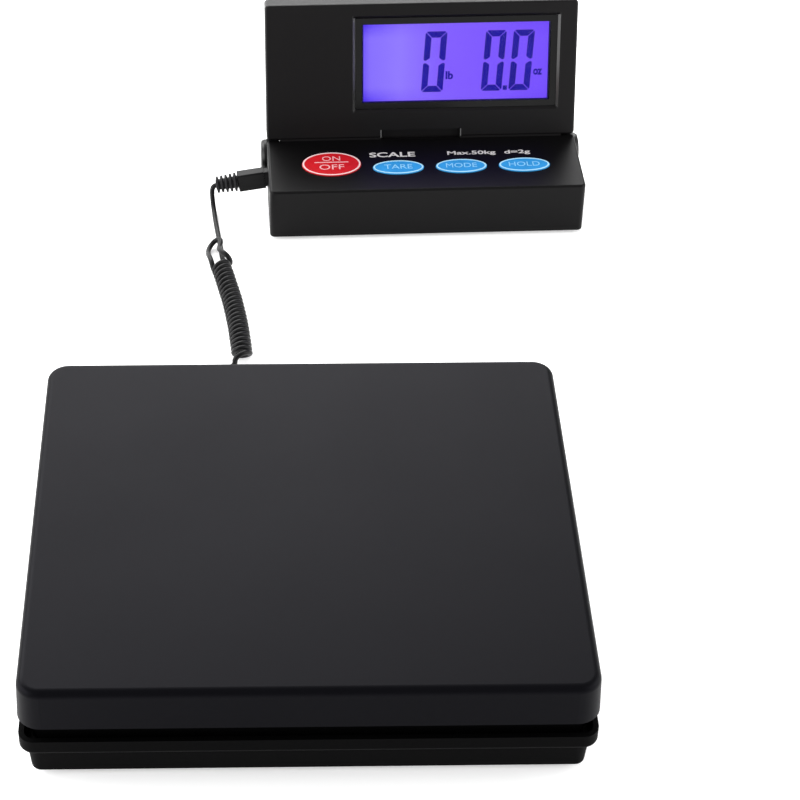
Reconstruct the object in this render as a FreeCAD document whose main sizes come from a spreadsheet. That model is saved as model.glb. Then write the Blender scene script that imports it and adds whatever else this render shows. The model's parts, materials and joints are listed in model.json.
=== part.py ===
import FreeCAD, Part

import math
import os

import Sketcher

# A platform shipping scale: a weighing platform, and a separate display unit joined to it by a
# coiled cord. Lengths are in millimetres. +X is to the right, +Y points away from the user and
# +Z is up. The origin is on the floor, below the middle of the whole object without its cord.

V = FreeCAD.Vector
Placement = FreeCAD.Placement
Rotation = FreeCAD.Rotation

SIZES = {
    # where the two units stand on the floor
    "platform_x": -21.1,
    "platform_y": -140.8,
    "display_x": 54.9,
    "display_y": 159.1,
    "display_yaw": 1.5,
    # platform cover
    "cover_width": 252.0,
    "cover_depth": 227.0,
    "cover_corner": 11.0,
    "cover_bottom": 37.1,
    "cover_top": 58.0,
    "cover_wall": 2.5,
    "cover_skin": 3.0,
    "cover_draft": 2.5,
    "cover_edge": 3.5,
    "rib_bottom": 46.5,
    "rib_thickness": 2.0,
    "rib_pitch_x": 45.0,
    "rib_pitch_y": 40.0,
    "boss_x": 70.0,
    "boss_y": 45.0,
    "boss_radius": 6.0,
    # lower housing
    "housing_bottom": 3.0,
    "tray_width": 243.6,
    "tray_depth": 213.0,
    "tray_corner": 4.5,
    "tray_draft": 5.0,
    "tray_floor": 3.0,
    "flange_bottom": 20.8,
    "flange_top": 28.8,
    "flange_width": 251.6,
    "flange_depth": 226.6,
    "flange_corner": 7.0,
    "flange_wall": 2.5,
    "lip_top": 42.0,
    "lip_width": 241.0,
    "lip_depth": 216.0,
    "lip_corner": 8.0,
    "lip_wall": 2.5,
    "foot_x": 98.0,
    "foot_y": 86.0,
    "foot_radius": 9.0,
    # load cell and brackets
    "bracket_width": 170.0,
    "bracket_depth": 120.0,
    "lower_bracket_bottom": 9.0,
    "lower_bracket_thickness": 2.5,
    "lower_spacer_thickness": 2.0,
    "cell_length": 130.0,
    "cell_width": 30.0,
    "cell_height": 22.0,
    "cell_hole_radius": 7.5,
    "cell_hole_half_pitch": 12.0,
    "cell_screw_inner": 42.0,
    "cell_screw_outer": 58.0,
    "cell_screw_radius": 3.0,
    "upper_spacer_thickness": 2.5,
    "upper_bracket_thickness": 2.0,
    "bracket_flange": 6.0,
    "housing_boss_x": 75.0,
    "housing_boss_y": 50.0,
    "stop_x": 30.0,
    "stop_y": 48.0,
    "stop_gap": 0.85,
    # cord
    "cord_radius": 1.45,
    "coil_radius": 5.9,
    "gland_x": -40.0,
    "gland_up": 13.0,
    # display console
    "console_width": 180.0,
    "console_depth": 53.0,
    "console_height": 33.0,
    "console_corner": 3.0,
    "console_bottom": 2.0,
    "case_split": 4.6,
    "case_wall": 2.2,
    "hinge_back": 58.0,
    "hinge_up": 19.5,
    "ear_radius": 10.5,
    "ear_width": 7.4,
    "hinge_gap": 0.4,
    "pin_radius": 4.0,
    "key_pitch": 36.3,
    "power_key_x": -53.6,
    "tare_key_x": -15.4,
    "power_key_y": 27.3,
    "key_y": 22.6,
    "power_key_half_width": 17.0,
    "power_key_half_depth": 12.0,
    "key_half_width": 14.7,
    "key_half_depth": 7.0,
    "key_rise": 0.5,
    "key_gap": 0.3,
    "plug_y": 38.0,
    "plug_up": 18.3,
    "plug_droop": 9.0,
    "jack_y": 22.5,
    "jack_up": 10.8,
    # display panel
    "panel_tilt": 17.0,
    "panel_thickness": 17.8,
    "panel_root": 11.9,
    "panel_length": 79.5,
    "panel_corner": 2.2,
    "panel_wall": 2.2,
    "window_x": 20.2,
    "window_up": 55.9,
    "window_width": 108.4,
    "window_height": 46.6,
    "recess_width": 117.0,
    "recess_height": 54.0,
    "recess_depth": 2.4,
    "notch_width": 46.0,
    "notch_height": 5.0,
    "notch_depth": 4.6,
}


class Size(float):
    """A number that keeps the spreadsheet expression that it comes from."""

    def __new__(cls, number, text=None):
        size = float.__new__(cls, number)
        size.text = text or repr(float(number))
        return size

    def combine(self, other, sign, number, swapped=False):
        first, second = self.text, Size(other, getattr(other, "text", None)).text
        if swapped:
            first, second = second, first
        return Size(number, f"({first} {sign} {second})")

    def __add__(self, other):
        return self.combine(other, "+", float(self) + float(other))

    def __radd__(self, other):
        return self.combine(other, "+", float(self) + float(other), swapped=True)

    def __sub__(self, other):
        return self.combine(other, "-", float(self) - float(other))

    def __rsub__(self, other):
        return self.combine(other, "-", float(other) - float(self), swapped=True)

    def __mul__(self, other):
        return self.combine(other, "*", float(self) * float(other))

    def __rmul__(self, other):
        return self.combine(other, "*", float(self) * float(other), swapped=True)

    def __truediv__(self, other):
        return self.combine(other, "/", float(self) / float(other))

    def __neg__(self):
        return Size(-float(self), f"(0 - {self.text})")


doc = FreeCAD.newDocument("shipping_scale")
sheet = doc.addObject("Spreadsheet::Sheet", "sizes")
for row, (alias, number) in enumerate(SIZES.items(), start=1):
    sheet.set(f"A{row}", alias)
    sheet.set(f"B{row}", str(number))
    sheet.setAlias(f"B{row}", alias)
doc.recompute()

NODES = {}


def size(alias):
    return Size(SIZES[alias], f"sizes.{alias}")


def bind(thing, name, value):
    """Ties a property to its spreadsheet expression."""
    thing.setExpression(name, Size(value, getattr(value, "text", None)).text)


def keep(thing, node, place):
    """Makes an object one of the scale's sub-parts, set at its place in the assembly."""
    thing.Label = node
    thing.Placement = place
    NODES[node] = thing
    return thing


# --- Sketches and features ------------------------------------------------------------------

def new_body(name):
    return doc.addObject("PartDesign::Body", "body_" + name)


def origin_feature(body, role):
    return [o for o in body.Origin.OriginFeatures if o.Role == role][0]


def new_sketch(body, name, role, at):
    """A sketch on one of the body's own planes; at is (x, y, z) in the body."""
    x, y, z = at
    local = {"XY_Plane": (x, y, z), "XZ_Plane": (x, z, -y), "YZ_Plane": (y, z, x)}[role]
    sketch = body.newObject("Sketcher::SketchObject", name)
    sketch.AttachmentSupport = [(origin_feature(body, role), "")]
    sketch.MapMode = "FlatFace"
    sketch.AttachmentOffset = Placement(V(*[float(c) for c in local]), Rotation())
    for letter, value in zip("xyz", local):
        if hasattr(value, "text"):
            bind(sketch, f"AttachmentOffset.Base.{letter}", value)
    return sketch


def constrain(sketch, label, value, *what):
    index = sketch.addConstraint(Sketcher.Constraint(*what, float(value)))
    sketch.renameConstraint(index, label)
    if hasattr(value, "text"):
        bind(sketch, "Constraints." + label, value)


def add_rectangle(sketch, width, depth, radius, label=""):
    """A rectangle about the sketch's origin, with rounded corners if radius is over 0."""
    x, y, r = width / 2, depth / 2, float(radius)
    x, y = float(x), float(y)
    first = sketch.GeometryCount
    fix = Sketcher.Constraint
    if r <= 0:
        corners = [V(-x, -y, 0), V(x, -y, 0), V(x, y, 0), V(-x, y, 0)]
        for k in range(4):
            sketch.addGeometry(Part.LineSegment(corners[k], corners[(k + 1) % 4]))
        for k in range(4):
            sketch.addConstraint(fix("Coincident", first + k, 2, first + (k + 1) % 4, 1))
        bottom, right, top, left = range(first, first + 4)
        sketch.addConstraint(fix("Symmetric", bottom, 1, top, 1, -1, 1))
    else:
        centres = [(x - r, -y + r), (x - r, y - r), (-x + r, y - r), (-x + r, -y + r)]
        ends = [(V(-x + r, -y, 0), V(x - r, -y, 0)), (V(x, -y + r, 0), V(x, y - r, 0)),
                (V(x - r, y, 0), V(-x + r, y, 0)), (V(-x, y - r, 0), V(-x, -y + r, 0))]
        for k in range(4):
            sketch.addGeometry(Part.LineSegment(*ends[k]))
            circle = Part.Circle(V(centres[k][0], centres[k][1], 0), V(0, 0, 1), r)
            start = (k - 1) * math.pi / 2
            sketch.addGeometry(Part.ArcOfCircle(circle, start, start + math.pi / 2))
        for k in range(8):
            sketch.addConstraint(fix("Tangent", first + k, 2, first + (k + 1) % 8, 1))
        for k in (3, 5, 7):
            sketch.addConstraint(fix("Equal", first + 1, first + k))
        bottom, right, top, left = range(first, first + 8, 2)
        sketch.addConstraint(fix("Symmetric", first + 1, 3, first + 5, 3, -1, 1))
        constrain(sketch, label + "radius", radius, "Radius", first + 1)
    for line in (bottom, top):
        sketch.addConstraint(fix("Horizontal", line))
    for line in (right, left):
        sketch.addConstraint(fix("Vertical", line))
    constrain(sketch, label + "width", width, "DistanceX", left, 1, right, 1)
    constrain(sketch, label + "depth", depth, "DistanceY", bottom, 1, top, 1)


def rectangle(body, name, role, width, depth, radius=0.0, at=(0, 0, 0)):
    sketch = new_sketch(body, name, role, at)
    add_rectangle(sketch, width, depth, radius)
    return sketch


def circles(body, name, role, radius, centres, at=(0, 0, 0)):
    """Equal circles at centres, each (a, b) in the sketch's own directions."""
    sketch = new_sketch(body, name, role, at)
    for k, (a, b) in enumerate(centres):
        sketch.addGeometry(Part.Circle(V(float(a), float(b), 0), V(0, 0, 1), float(radius)))
        for value, axis, kind in ((a, -2, "DistanceX"), (b, -1, "DistanceY")):
            if abs(float(value)) < 1e-9:
                sketch.addConstraint(Sketcher.Constraint("PointOnObject", k, 3, axis))
            else:
                constrain(sketch, f"c{k}{kind}", value, kind, -1, 1, k, 3)
        if k:
            sketch.addConstraint(Sketcher.Constraint("Equal", 0, k))
    constrain(sketch, "radius", radius, "Radius", 0)
    return sketch


def outline(body, name, role, points, at=(0, 0, 0)):
    """A closed outline held by block constraints. A point is (a, b); three values (a, b, "arc")
    mark the middle of an arc between the points beside it."""
    sketch = new_sketch(body, name, role, at)
    corners = [p for p in points if len(p) == 2]
    for k, start in enumerate(corners):
        end = corners[(k + 1) % len(corners)]
        after = points[(points.index(start) + 1) % len(points)]
        if len(after) == 3:
            edge = Part.Arc(V(*start, 0), V(after[0], after[1], 0), V(*end, 0))
        else:
            edge = Part.LineSegment(V(*start, 0), V(*end, 0))
        sketch.addGeometry(edge)
    ends = []
    for k, start in enumerate(corners):
        forward = (sketch.getPoint(k, 1) - V(*start, 0)).Length < 1e-6
        ends.append((1, 2) if forward else (2, 1))
    for k, (_, last) in enumerate(ends):
        following = (k + 1) % len(corners)
        joint = ("Coincident", k, last, following, ends[following][0])
        sketch.addConstraint(Sketcher.Constraint(*joint))
    for k in range(len(corners)):
        sketch.addConstraint(Sketcher.Constraint("Block", k))
    return sketch


def ellipse_hole(body, name, half_width, half_depth, at):
    sketch = new_sketch(body, name, "XY_Plane", at)
    sketch.addGeometry(Part.Ellipse(V(0, 0, 0), float(half_width), float(half_depth)))
    sketch.addConstraint(Sketcher.Constraint("Block", 0))
    return sketch


def extrude(body, kind, sketch, length, flip=False, both=False, taper=0.0):
    """A Pad or Pocket. flip sends it against the sketch's own normal for a Pad, and along it for
    a Pocket; both centres it on the sketch."""
    before = body.Shape.Volume if body.Tip else 0.0
    feature = body.newObject("PartDesign::" + kind, sketch.Name + "_" + kind.lower())
    feature.Profile = sketch
    feature.Reversed = flip
    if both:
        feature.SideType = "Symmetric"
    bind(feature, "Length", length)
    if taper:
        bind(feature, "TaperAngle", taper)
    doc.recompute()
    change = body.Shape.Volume - before
    if (kind == "Pad") != (change > 0) or abs(change) < 1e-3:
        raise RuntimeError(f"{feature.Name} changed the volume by {change:.3f}")
    return feature


def pattern(body, feature, role, length, count):
    """Repeats a feature count times over a length along one of the body's own axes."""
    row = body.newObject("PartDesign::LinearPattern", feature.Name + "_row")
    row.Originals = [feature]
    row.Direction = (origin_feature(body, role), [""])
    bind(row, "Length", length)
    row.Occurrences = count
    body.Tip = row
    doc.recompute()


def soften(body, name, radius, chosen, kind="Fillet"):
    """Rounds or chamfers the edges of the body's tip that chosen() accepts."""
    tip = body.Tip
    names = [f"Edge{k}" for k, edge in enumerate(tip.Shape.Edges, start=1) if chosen(edge)]
    if not names:
        raise RuntimeError("no edge was found for " + name)
    feature = body.newObject("PartDesign::" + kind, name)
    feature.Base = (tip, names)
    bind(feature, "Radius" if kind == "Fillet" else "Size", radius)
    doc.recompute()
    if "Invalid" in feature.State or not feature.Shape.isValid():
        raise RuntimeError("the rounding failed at " + name)
    return feature


def flat_at(edge, axis, level, tolerance=0.02):
    """True if the whole edge lies at one level of an axis."""
    box = edge.BoundBox
    low = getattr(box, axis + "Min")
    high = getattr(box, axis + "Max")
    return abs(low - level) < tolerance and abs(high - level) < tolerance


def runs_along(edge, axis):
    box = edge.BoundBox
    spans = {"X": box.XLength, "Y": box.YLength, "Z": box.ZLength}
    return spans[axis] > 0.01 and all(v < 0.01 for k, v in spans.items() if k != axis)


def turned(node, points, role, place):
    """A body of revolution: points are (along the axis, radius) about the X or Z axis."""
    body = new_body(node)
    if role == "X_Axis":
        sketch = outline(body, node + "_section", "XY_Plane", points)
    else:
        sketch = outline(body, node + "_section", "XZ_Plane", [flip_pair(p) for p in points])
    feature = body.newObject("PartDesign::Revolution", node + "_turn")
    feature.Profile = sketch
    feature.ReferenceAxis = (origin_feature(body, role), [""])
    feature.Angle = 360
    doc.recompute()
    if place is not None:
        keep(body, node, place)
    return body


def flip_pair(point):
    return (point[1], point[0]) + tuple(point[2:])


# --- Plain solids ---------------------------------------------------------------------------

def box(name, spans, middle):
    """A Part::Box of size spans, centred on middle in X and Y, with its base at middle's z."""
    solid = doc.addObject("Part::Box", name)
    for prop, value in zip(("Length", "Width", "Height"), spans):
        bind(solid, prop, value)
    x, y, z = middle
    bind(solid, "Placement.Base.x", x - Size(spans[0], getattr(spans[0], "text", None)) / 2)
    bind(solid, "Placement.Base.y", y - Size(spans[1], getattr(spans[1], "text", None)) / 2)
    bind(solid, "Placement.Base.z", z)
    return solid


TURNS = {
    "X": Rotation(V(0, 1, 0), 90),
    "-X": Rotation(V(0, 1, 0), -90),
    "Y": Rotation(V(1, 0, 0), -90),
    "Z": Rotation(),
}


def cylinder(name, radius, length, start, axis="Z"):
    solid = doc.addObject("Part::Cylinder", name)
    bind(solid, "Radius", radius)
    bind(solid, "Height", length)
    solid.Placement = Placement(V(*[float(c) for c in start]), TURNS[axis])
    return solid


def cone(name, radius, end_radius, length, start, axis):
    solid = doc.addObject("Part::Cone", name)
    bind(solid, "Radius1", radius)
    bind(solid, "Radius2", end_radius)
    bind(solid, "Height", length)
    solid.Placement = Placement(V(*[float(c) for c in start]), TURNS[axis])
    return solid


def fuse(name, solids):
    if len(solids) == 1:
        return solids[0]
    joined = doc.addObject("Part::MultiFuse", name)
    joined.Shapes = solids
    return joined


def cut(name, base, tool):
    result = doc.addObject("Part::Cut", name)
    result.Base = base
    result.Tool = tool
    return result


def grid(x, y):
    return [(a, b) for a in (-x, x) for b in (-y, y)]


def screws(node, places, head, shank, place, head_up=True):
    """Screws along Z with a recess in each head. places are (x, y, z of the head's seat);
    head is (radius, height) and shank is (radius, length)."""
    solids = []
    recesses = []
    for k, (x, y, z) in enumerate(places):
        top = z if head_up else z - head[1]
        under = z - shank[1] if head_up else z
        solids.append(cylinder(f"{node}_head_{k}", head[0], head[1], (x, y, top)))
        solids.append(cylinder(f"{node}_shank_{k}", shank[0], shank[1], (x, y, under)))
        recess_z = z + head[1] * 0.45 if head_up else z - head[1]
        recesses.append(cylinder(f"{node}_recess_{k}", head[0] * 0.45, head[1] * 0.55,
                                 (x, y, recess_z)))
    screw = cut(node + "_cut", fuse(node + "_solid", solids), fuse(node + "_recesses", recesses))
    return keep(screw, node, place)


# --- Where the units stand ------------------------------------------------------------------

platform_place = Placement(V(SIZES["platform_x"], SIZES["platform_y"], 0), Rotation())
display_place = Placement(V(SIZES["display_x"], SIZES["display_y"], 0),
                          Rotation(V(0, 0, 1), SIZES["display_yaw"]))
panel_local = Placement(V(0, SIZES["hinge_back"], SIZES["hinge_up"]),
                        Rotation(V(1, 0, 0), -SIZES["panel_tilt"]))
panel_place = display_place.multiply(panel_local)


# --- Weighing platform ----------------------------------------------------------------------

def platform_cover():
    body = new_body("platform_cover")
    height = size("cover_top") - size("cover_bottom")
    block = rectangle(body, "cover_plan", "XY_Plane", size("cover_width"), size("cover_depth"),
                      size("cover_corner"), (0, 0, size("cover_bottom")))
    extrude(body, "Pad", block, height, taper=-size("cover_draft"))
    soften(body, "cover_top_edge", size("cover_edge"),
           lambda e: flat_at(e, "Z", SIZES["cover_top"]))
    wall = 2 * size("cover_wall")
    hollow = rectangle(body, "cover_hollow", "XY_Plane", size("cover_width") - wall,
                       size("cover_depth") - wall, size("cover_corner") - size("cover_wall"),
                       (0, 0, size("cover_bottom")))
    extrude(body, "Pocket", hollow, height - size("cover_skin"), flip=True,
            taper=-size("cover_draft"))
    rib_height = size("cover_top") - size("cover_skin") - size("rib_bottom") + 0.5
    reach = 2 * size("cover_wall") + 1.4
    across = rectangle(body, "rib_across", "XY_Plane", size("cover_width") - reach,
                       size("rib_thickness"), 0,
                       (0, -2 * size("rib_pitch_y"), size("rib_bottom")))
    rib = extrude(body, "Pad", across, rib_height)
    pattern(body, rib, "Y_Axis", 4 * size("rib_pitch_y"), 5)
    along = rectangle(body, "rib_along", "XY_Plane", size("rib_thickness"),
                      size("cover_depth") - reach, 0,
                      (-2 * size("rib_pitch_x"), 0, size("rib_bottom")))
    rib = extrude(body, "Pad", along, rib_height)
    pattern(body, rib, "X_Axis", 4 * size("rib_pitch_x"), 5)
    seat = upper_bracket_top()
    corners = grid(size("boss_x"), size("boss_y"))
    bosses = circles(body, "cover_bosses", "XY_Plane", size("boss_radius"), corners, (0, 0, seat))
    extrude(body, "Pad", bosses, size("cover_top") - size("cover_skin") - seat + 0.5)
    holes = circles(body, "cover_boss_holes", "XY_Plane", 1.8, corners, (0, 0, seat))
    extrude(body, "Pocket", holes, 12.0, flip=True)
    keep(body, "platform_cover", platform_place)


def cell_bottom():
    return (size("lower_bracket_bottom") + size("lower_bracket_thickness")
            + size("lower_spacer_thickness"))


def upper_bracket_bottom():
    return cell_bottom() + size("cell_height") + size("upper_spacer_thickness")


def upper_bracket_top():
    return upper_bracket_bottom() + size("upper_bracket_thickness")


def bracket(node, bottom, thickness, screw_corners, screw_radius, cell_side):
    """A pressed steel plate with two long openings and holes for its screws."""
    body = new_body(node)
    plate = rectangle(body, node + "_plan", "XY_Plane", size("bracket_width"),
                      size("bracket_depth"), 6.0, (0, 0, bottom))
    extrude(body, "Pad", plate, thickness)
    for side, name in ((-1, "front"), (1, "rear")):
        slot = rectangle(body, f"{node}_{name}_slot", "XY_Plane", 40.0, 16.0, 5.0,
                         (0, side * 30.0, bottom))
        extrude(body, "Pocket", slot, thickness, flip=True)
    holes = circles(body, node + "_corner_holes", "XY_Plane", screw_radius + 0.2, screw_corners,
                    (0, 0, bottom))
    extrude(body, "Pocket", holes, thickness, flip=True)
    cell_holes = [(cell_side * size("cell_screw_inner"), 0.0),
                  (cell_side * size("cell_screw_outer"), 0.0)]
    middle = circles(body, node + "_cell_holes", "XY_Plane", size("cell_screw_radius") + 0.2,
                     cell_holes, (0, 0, bottom))
    extrude(body, "Pocket", middle, thickness, flip=True)
    return body


def upper_bracket():
    bottom = upper_bracket_bottom()
    thickness = size("upper_bracket_thickness")
    corners = grid(size("boss_x"), size("boss_y"))
    body = bracket("upper_bracket", bottom, thickness, corners, 1.75, 1)
    for side, name in ((-1, "front"), (1, "rear")):
        y = side * (size("bracket_depth") / 2 - thickness / 2)
        flange = rectangle(body, f"bracket_{name}_flange", "XY_Plane",
                           size("bracket_width") - 12.0, thickness, 0, (0, y, bottom))
        extrude(body, "Pad", flange, size("bracket_flange"), flip=True)
    keep(body, "upper_bracket", platform_place)


def lower_bracket():
    corners = grid(size("housing_boss_x"), size("housing_boss_y"))
    body = bracket("lower_bracket", size("lower_bracket_bottom"), size("lower_bracket_thickness"),
                   corners, 1.8, -1)
    keep(body, "lower_bracket", platform_place)


def load_cell():
    body = new_body("load_cell")
    beam = rectangle(body, "cell_plan", "XY_Plane", size("cell_length"), size("cell_width"), 0,
                     (0, 0, cell_bottom()))
    extrude(body, "Pad", beam, size("cell_height"))
    middle = cell_bottom() + size("cell_height") / 2
    pitch = size("cell_hole_half_pitch")
    pair = circles(body, "cell_double_hole", "XZ_Plane", size("cell_hole_radius"),
                   [(-pitch, 0.0), (pitch, 0.0)], (0, 0, middle))
    extrude(body, "Pocket", pair, size("cell_width") + 2.0, both=True)
    bridge = rectangle(body, "cell_bridge", "XZ_Plane", 2 * pitch, 5.0, 0, (0, 0, middle))
    extrude(body, "Pocket", bridge, size("cell_width") + 2.0, both=True)
    hole = size("cell_screw_radius") + 0.05
    spots = [size("cell_screw_inner"), size("cell_screw_outer")]
    upper = circles(body, "cell_upper_holes", "XY_Plane", hole, [(x, 0.0) for x in spots],
                    (0, 0, cell_bottom() + size("cell_height")))
    extrude(body, "Pocket", upper, 14.0)
    lower = circles(body, "cell_lower_holes", "XY_Plane", hole, [(-x, 0.0) for x in spots],
                    (0, 0, cell_bottom()))
    extrude(body, "Pocket", lower, 14.0, flip=True)
    keep(body, "load_cell", platform_place)


def spacer(node, side, bottom, thickness):
    middle = side * (size("cell_screw_inner") + size("cell_screw_outer")) / 2
    plate = box(node + "_plate", (30.0, size("cell_width"), thickness), (middle, 0.0, bottom))
    holes = [cylinder(f"{node}_hole_{k}", size("cell_screw_radius") + 0.2, thickness + 2.0,
                      (side * SIZES[alias], 0, float(bottom) - 1))
             for k, alias in enumerate(("cell_screw_inner", "cell_screw_outer"))]
    keep(cut(node + "_cut", plate, fuse(node + "_holes", holes)), node, platform_place)


def cell_fixings():
    spots = (SIZES["cell_screw_inner"], SIZES["cell_screw_outer"])
    radius = size("cell_screw_radius")
    top = float(upper_bracket_top())
    screws("cell_screws_upper", [(x, 0, top) for x in spots], (5.0, 4.0), (radius, 16.0),
           platform_place)
    seat = SIZES["lower_bracket_bottom"]
    screws("cell_screws_lower", [(-x, 0, seat) for x in spots], (5.0, 2.6), (radius, 16.0),
           platform_place, head_up=False)
    plate_top = seat + SIZES["lower_bracket_thickness"]
    bosses = grid(SIZES["housing_boss_x"], SIZES["housing_boss_y"])
    screws("bracket_screws", [(x, y, plate_top) for x, y in bosses], (3.8, 2.5), (1.8, 7.3),
           platform_place)
    bosses = grid(SIZES["boss_x"], SIZES["boss_y"])
    seat = float(upper_bracket_bottom())
    screws("cover_screws", [(x, y, seat) for x, y in bosses], (3.8, 2.4), (1.75, 12.0),
           platform_place, head_up=False)


def gauge_sealant():
    top = cell_bottom() + size("cell_height")
    pads = [box("sealant_top", (36.0, 20.0, 1.2), (0.0, 0.0, top)),
            box("sealant_bottom", (36.0, 20.0, 1.2), (0.0, 0.0, cell_bottom() - 1.2))]
    keep(fuse("sealant", pads), "gauge_sealant", platform_place)


def overload_stops():
    bottom = size("lower_bracket_bottom") + size("lower_bracket_thickness")
    height = upper_bracket_bottom() - size("stop_gap") - bottom
    posts = []
    for k, (x, y) in enumerate(grid(SIZES["stop_x"], SIZES["stop_y"])):
        posts.append(cylinder(f"stop_post_{k}", 3.0, height, (x, y, float(bottom))))
        posts.append(cylinder(f"stop_nut_{k}", 5.0, 4.0, (x, y, float(bottom))))
    keep(fuse("stops", posts), "overload_stops", platform_place)


def lower_housing():
    body = new_body("lower_housing")
    bottom = size("housing_bottom")
    tray = rectangle(body, "tray_plan", "XY_Plane", size("tray_width"), size("tray_depth"),
                     size("tray_corner"), (0, 0, bottom))
    extrude(body, "Pad", tray, size("flange_bottom") - bottom, taper=size("tray_draft"))
    soften(body, "tray_bottom_edge", 1.5, lambda e: flat_at(e, "Z", SIZES["housing_bottom"]))
    flange_height = size("flange_top") - size("flange_bottom")
    flange = rectangle(body, "flange_plan", "XY_Plane", size("flange_width"),
                       size("flange_depth"), size("flange_corner"), (0, 0, size("flange_bottom")))
    extrude(body, "Pad", flange, flange_height)
    soften(body, "flange_under_edge", 2.2,
           lambda e: flat_at(e, "Z", SIZES["flange_bottom"]) and is_on_flange(e))
    lip = rectangle(body, "lip_plan", "XY_Plane", size("lip_width"), size("lip_depth"),
                    size("lip_corner"), (0, 0, size("flange_top")))
    extrude(body, "Pad", lip, size("lip_top") - size("flange_top"))
    gutter = new_sketch(body, "flange_gutter", "XY_Plane", (0, 0, size("flange_top")))
    wall = 2 * size("flange_wall")
    add_rectangle(gutter, size("flange_width") - wall, size("flange_depth") - wall,
                  size("flange_corner") - size("flange_wall"), "outer_")
    add_rectangle(gutter, size("lip_width"), size("lip_depth"), size("lip_corner"), "inner_")
    extrude(body, "Pocket", gutter, flange_height - size("flange_wall"))
    wall = 2 * size("lip_wall")
    inside = rectangle(body, "lip_inside", "XY_Plane", size("lip_width") - wall,
                       size("lip_depth") - wall, size("lip_corner") - size("lip_wall"),
                       (0, 0, size("lip_top")))
    extrude(body, "Pocket", inside, size("lip_top") - size("flange_bottom"))
    deep = rectangle(body, "tray_inside", "XY_Plane", size("lip_width") - wall,
                     size("lip_depth") - wall, size("lip_corner") - size("lip_wall"),
                     (0, 0, size("flange_bottom")))
    floor = bottom + size("tray_floor")
    extrude(body, "Pocket", deep, size("flange_bottom") - floor, taper=-size("tray_draft"))
    corners = grid(size("housing_boss_x"), size("housing_boss_y"))
    seat = size("lower_bracket_bottom")
    bosses = circles(body, "housing_bosses", "XY_Plane", 5.0, corners, (0, 0, floor - 0.5))
    extrude(body, "Pad", bosses, seat - floor + 0.5)
    holes = circles(body, "housing_boss_holes", "XY_Plane", 1.85, corners, (0, 0, seat))
    extrude(body, "Pocket", holes, seat - bottom - 1.0)
    feet = circles(body, "foot_recesses", "XY_Plane", size("foot_radius") + 0.1,
                   grid(size("foot_x"), size("foot_y")), (0, 0, bottom))
    extrude(body, "Pocket", feet, 1.2, flip=True)
    gland = circles(body, "gland_hole", "XZ_Plane", 4.0, [(0.0, 0.0)],
                    (size("gland_x"), 98.0, size("gland_up")))
    extrude(body, "Pocket", gland, 14.0, flip=False)
    keep(body, "lower_housing", platform_place)


def is_on_flange(edge):
    """True for an edge on the outline of the flange, not on the narrower tray below it."""
    half_width = SIZES["flange_width"] / 2
    half_depth = SIZES["flange_depth"] / 2
    corner = SIZES["flange_corner"]
    for vertex in edge.Vertexes:
        x, y = abs(vertex.X), abs(vertex.Y)
        on_side = abs(x - half_width) < 0.02 and y < half_depth - corner + 0.1
        on_front = abs(y - half_depth) < 0.02 and x < half_width - corner + 0.1
        if not (on_side or on_front):
            return False
    return True


def rubber_feet():
    discs = []
    for k, (x, y) in enumerate(grid(SIZES["foot_x"], SIZES["foot_y"])):
        discs.append(cone(f"foot_tread_{k}", size("foot_radius") - 0.8, size("foot_radius"), 1.0,
                          (x, y, 0), "Z"))
        discs.append(cylinder(f"foot_disc_{k}", size("foot_radius"), 3.15, (x, y, 1.0)))
    keep(fuse("feet", discs), "rubber_feet", platform_place)


# --- Cord -----------------------------------------------------------------------------------
# Route points are relative to the middle of the platform, on the floor.

TAIL_ROUTE = [
    (-40.0, 118.0, 13.0), (-40.0, 129.0, 13.0), (-40.6, 140.0, 8.2), (-41.4, 151.0, 2.8),
    (-41.2, 162.0, 1.6), (-38.6, 172.0, 1.7), (-34.4, 181.8, 3.2),
]
COIL_ROUTE = [
    (-29.7, 183.0, 6.1), (-31.0, 200.0, 6.1), (-33.6, 222.0, 6.1), (-37.8, 246.0, 6.1),
    (-42.2, 265.5, 6.1),
]
LEAD_ROUTE = [
    (-40.9, 266.0, 1.8), (-42.2, 275.0, 1.6), (-42.3, 288.0, 1.6), (-44.0, 302.0, 1.6),
    (-45.3, 313.0, 1.6), (-46.2, 321.8, 1.9), (-46.9, 327.6, 3.5), (-47.4, 331.2, 6.0),
    (-47.6, 333.3, 8.9), (-47.37, 334.41, 11.62), (-45.99, 334.72, 13.38),
    (-42.22, 334.82, 13.98),
]
CELL_ROUTE = [
    (-14.0, 15.0, 24.0), (-14.0, 32.0, 22.6), (-11.5, 50.0, 18.5), (-17.0, 67.0, 12.6),
    (-29.0, 81.0, 10.6), (-37.0, 90.0, 12.2), (-40.0, 98.0, 13.0), (-40.0, 118.0, 13.0),
]


def route_wire(points):
    """Straight runs joined by tangent arcs, each as large as its two runs allow."""
    points = [V(*p) for p in points]
    edges = []
    radii = []
    here = points[0]
    for before, corner, after in zip(points, points[1:], points[2:]):
        back = before - corner
        ahead = after - corner
        shorter = min(back.Length, ahead.Length)
        back.normalize()
        ahead.normalize()
        half_turn = (math.pi - back.getAngle(ahead)) / 2
        reach = 0.45 * shorter
        radius = reach / math.tan(half_turn)
        start = corner + back * reach
        end = corner + ahead * reach
        towards = back + ahead
        towards.normalize()
        middle = corner + towards * (radius / math.cos(half_turn) - radius)
        edges.append(Part.LineSegment(here, start).toShape())
        edges.append(Part.Arc(start, middle, end).toShape())
        radii.append(radius)
        here = end
    edges.append(Part.LineSegment(here, points[-1]).toShape())
    return Part.Wire(edges), radii


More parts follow.
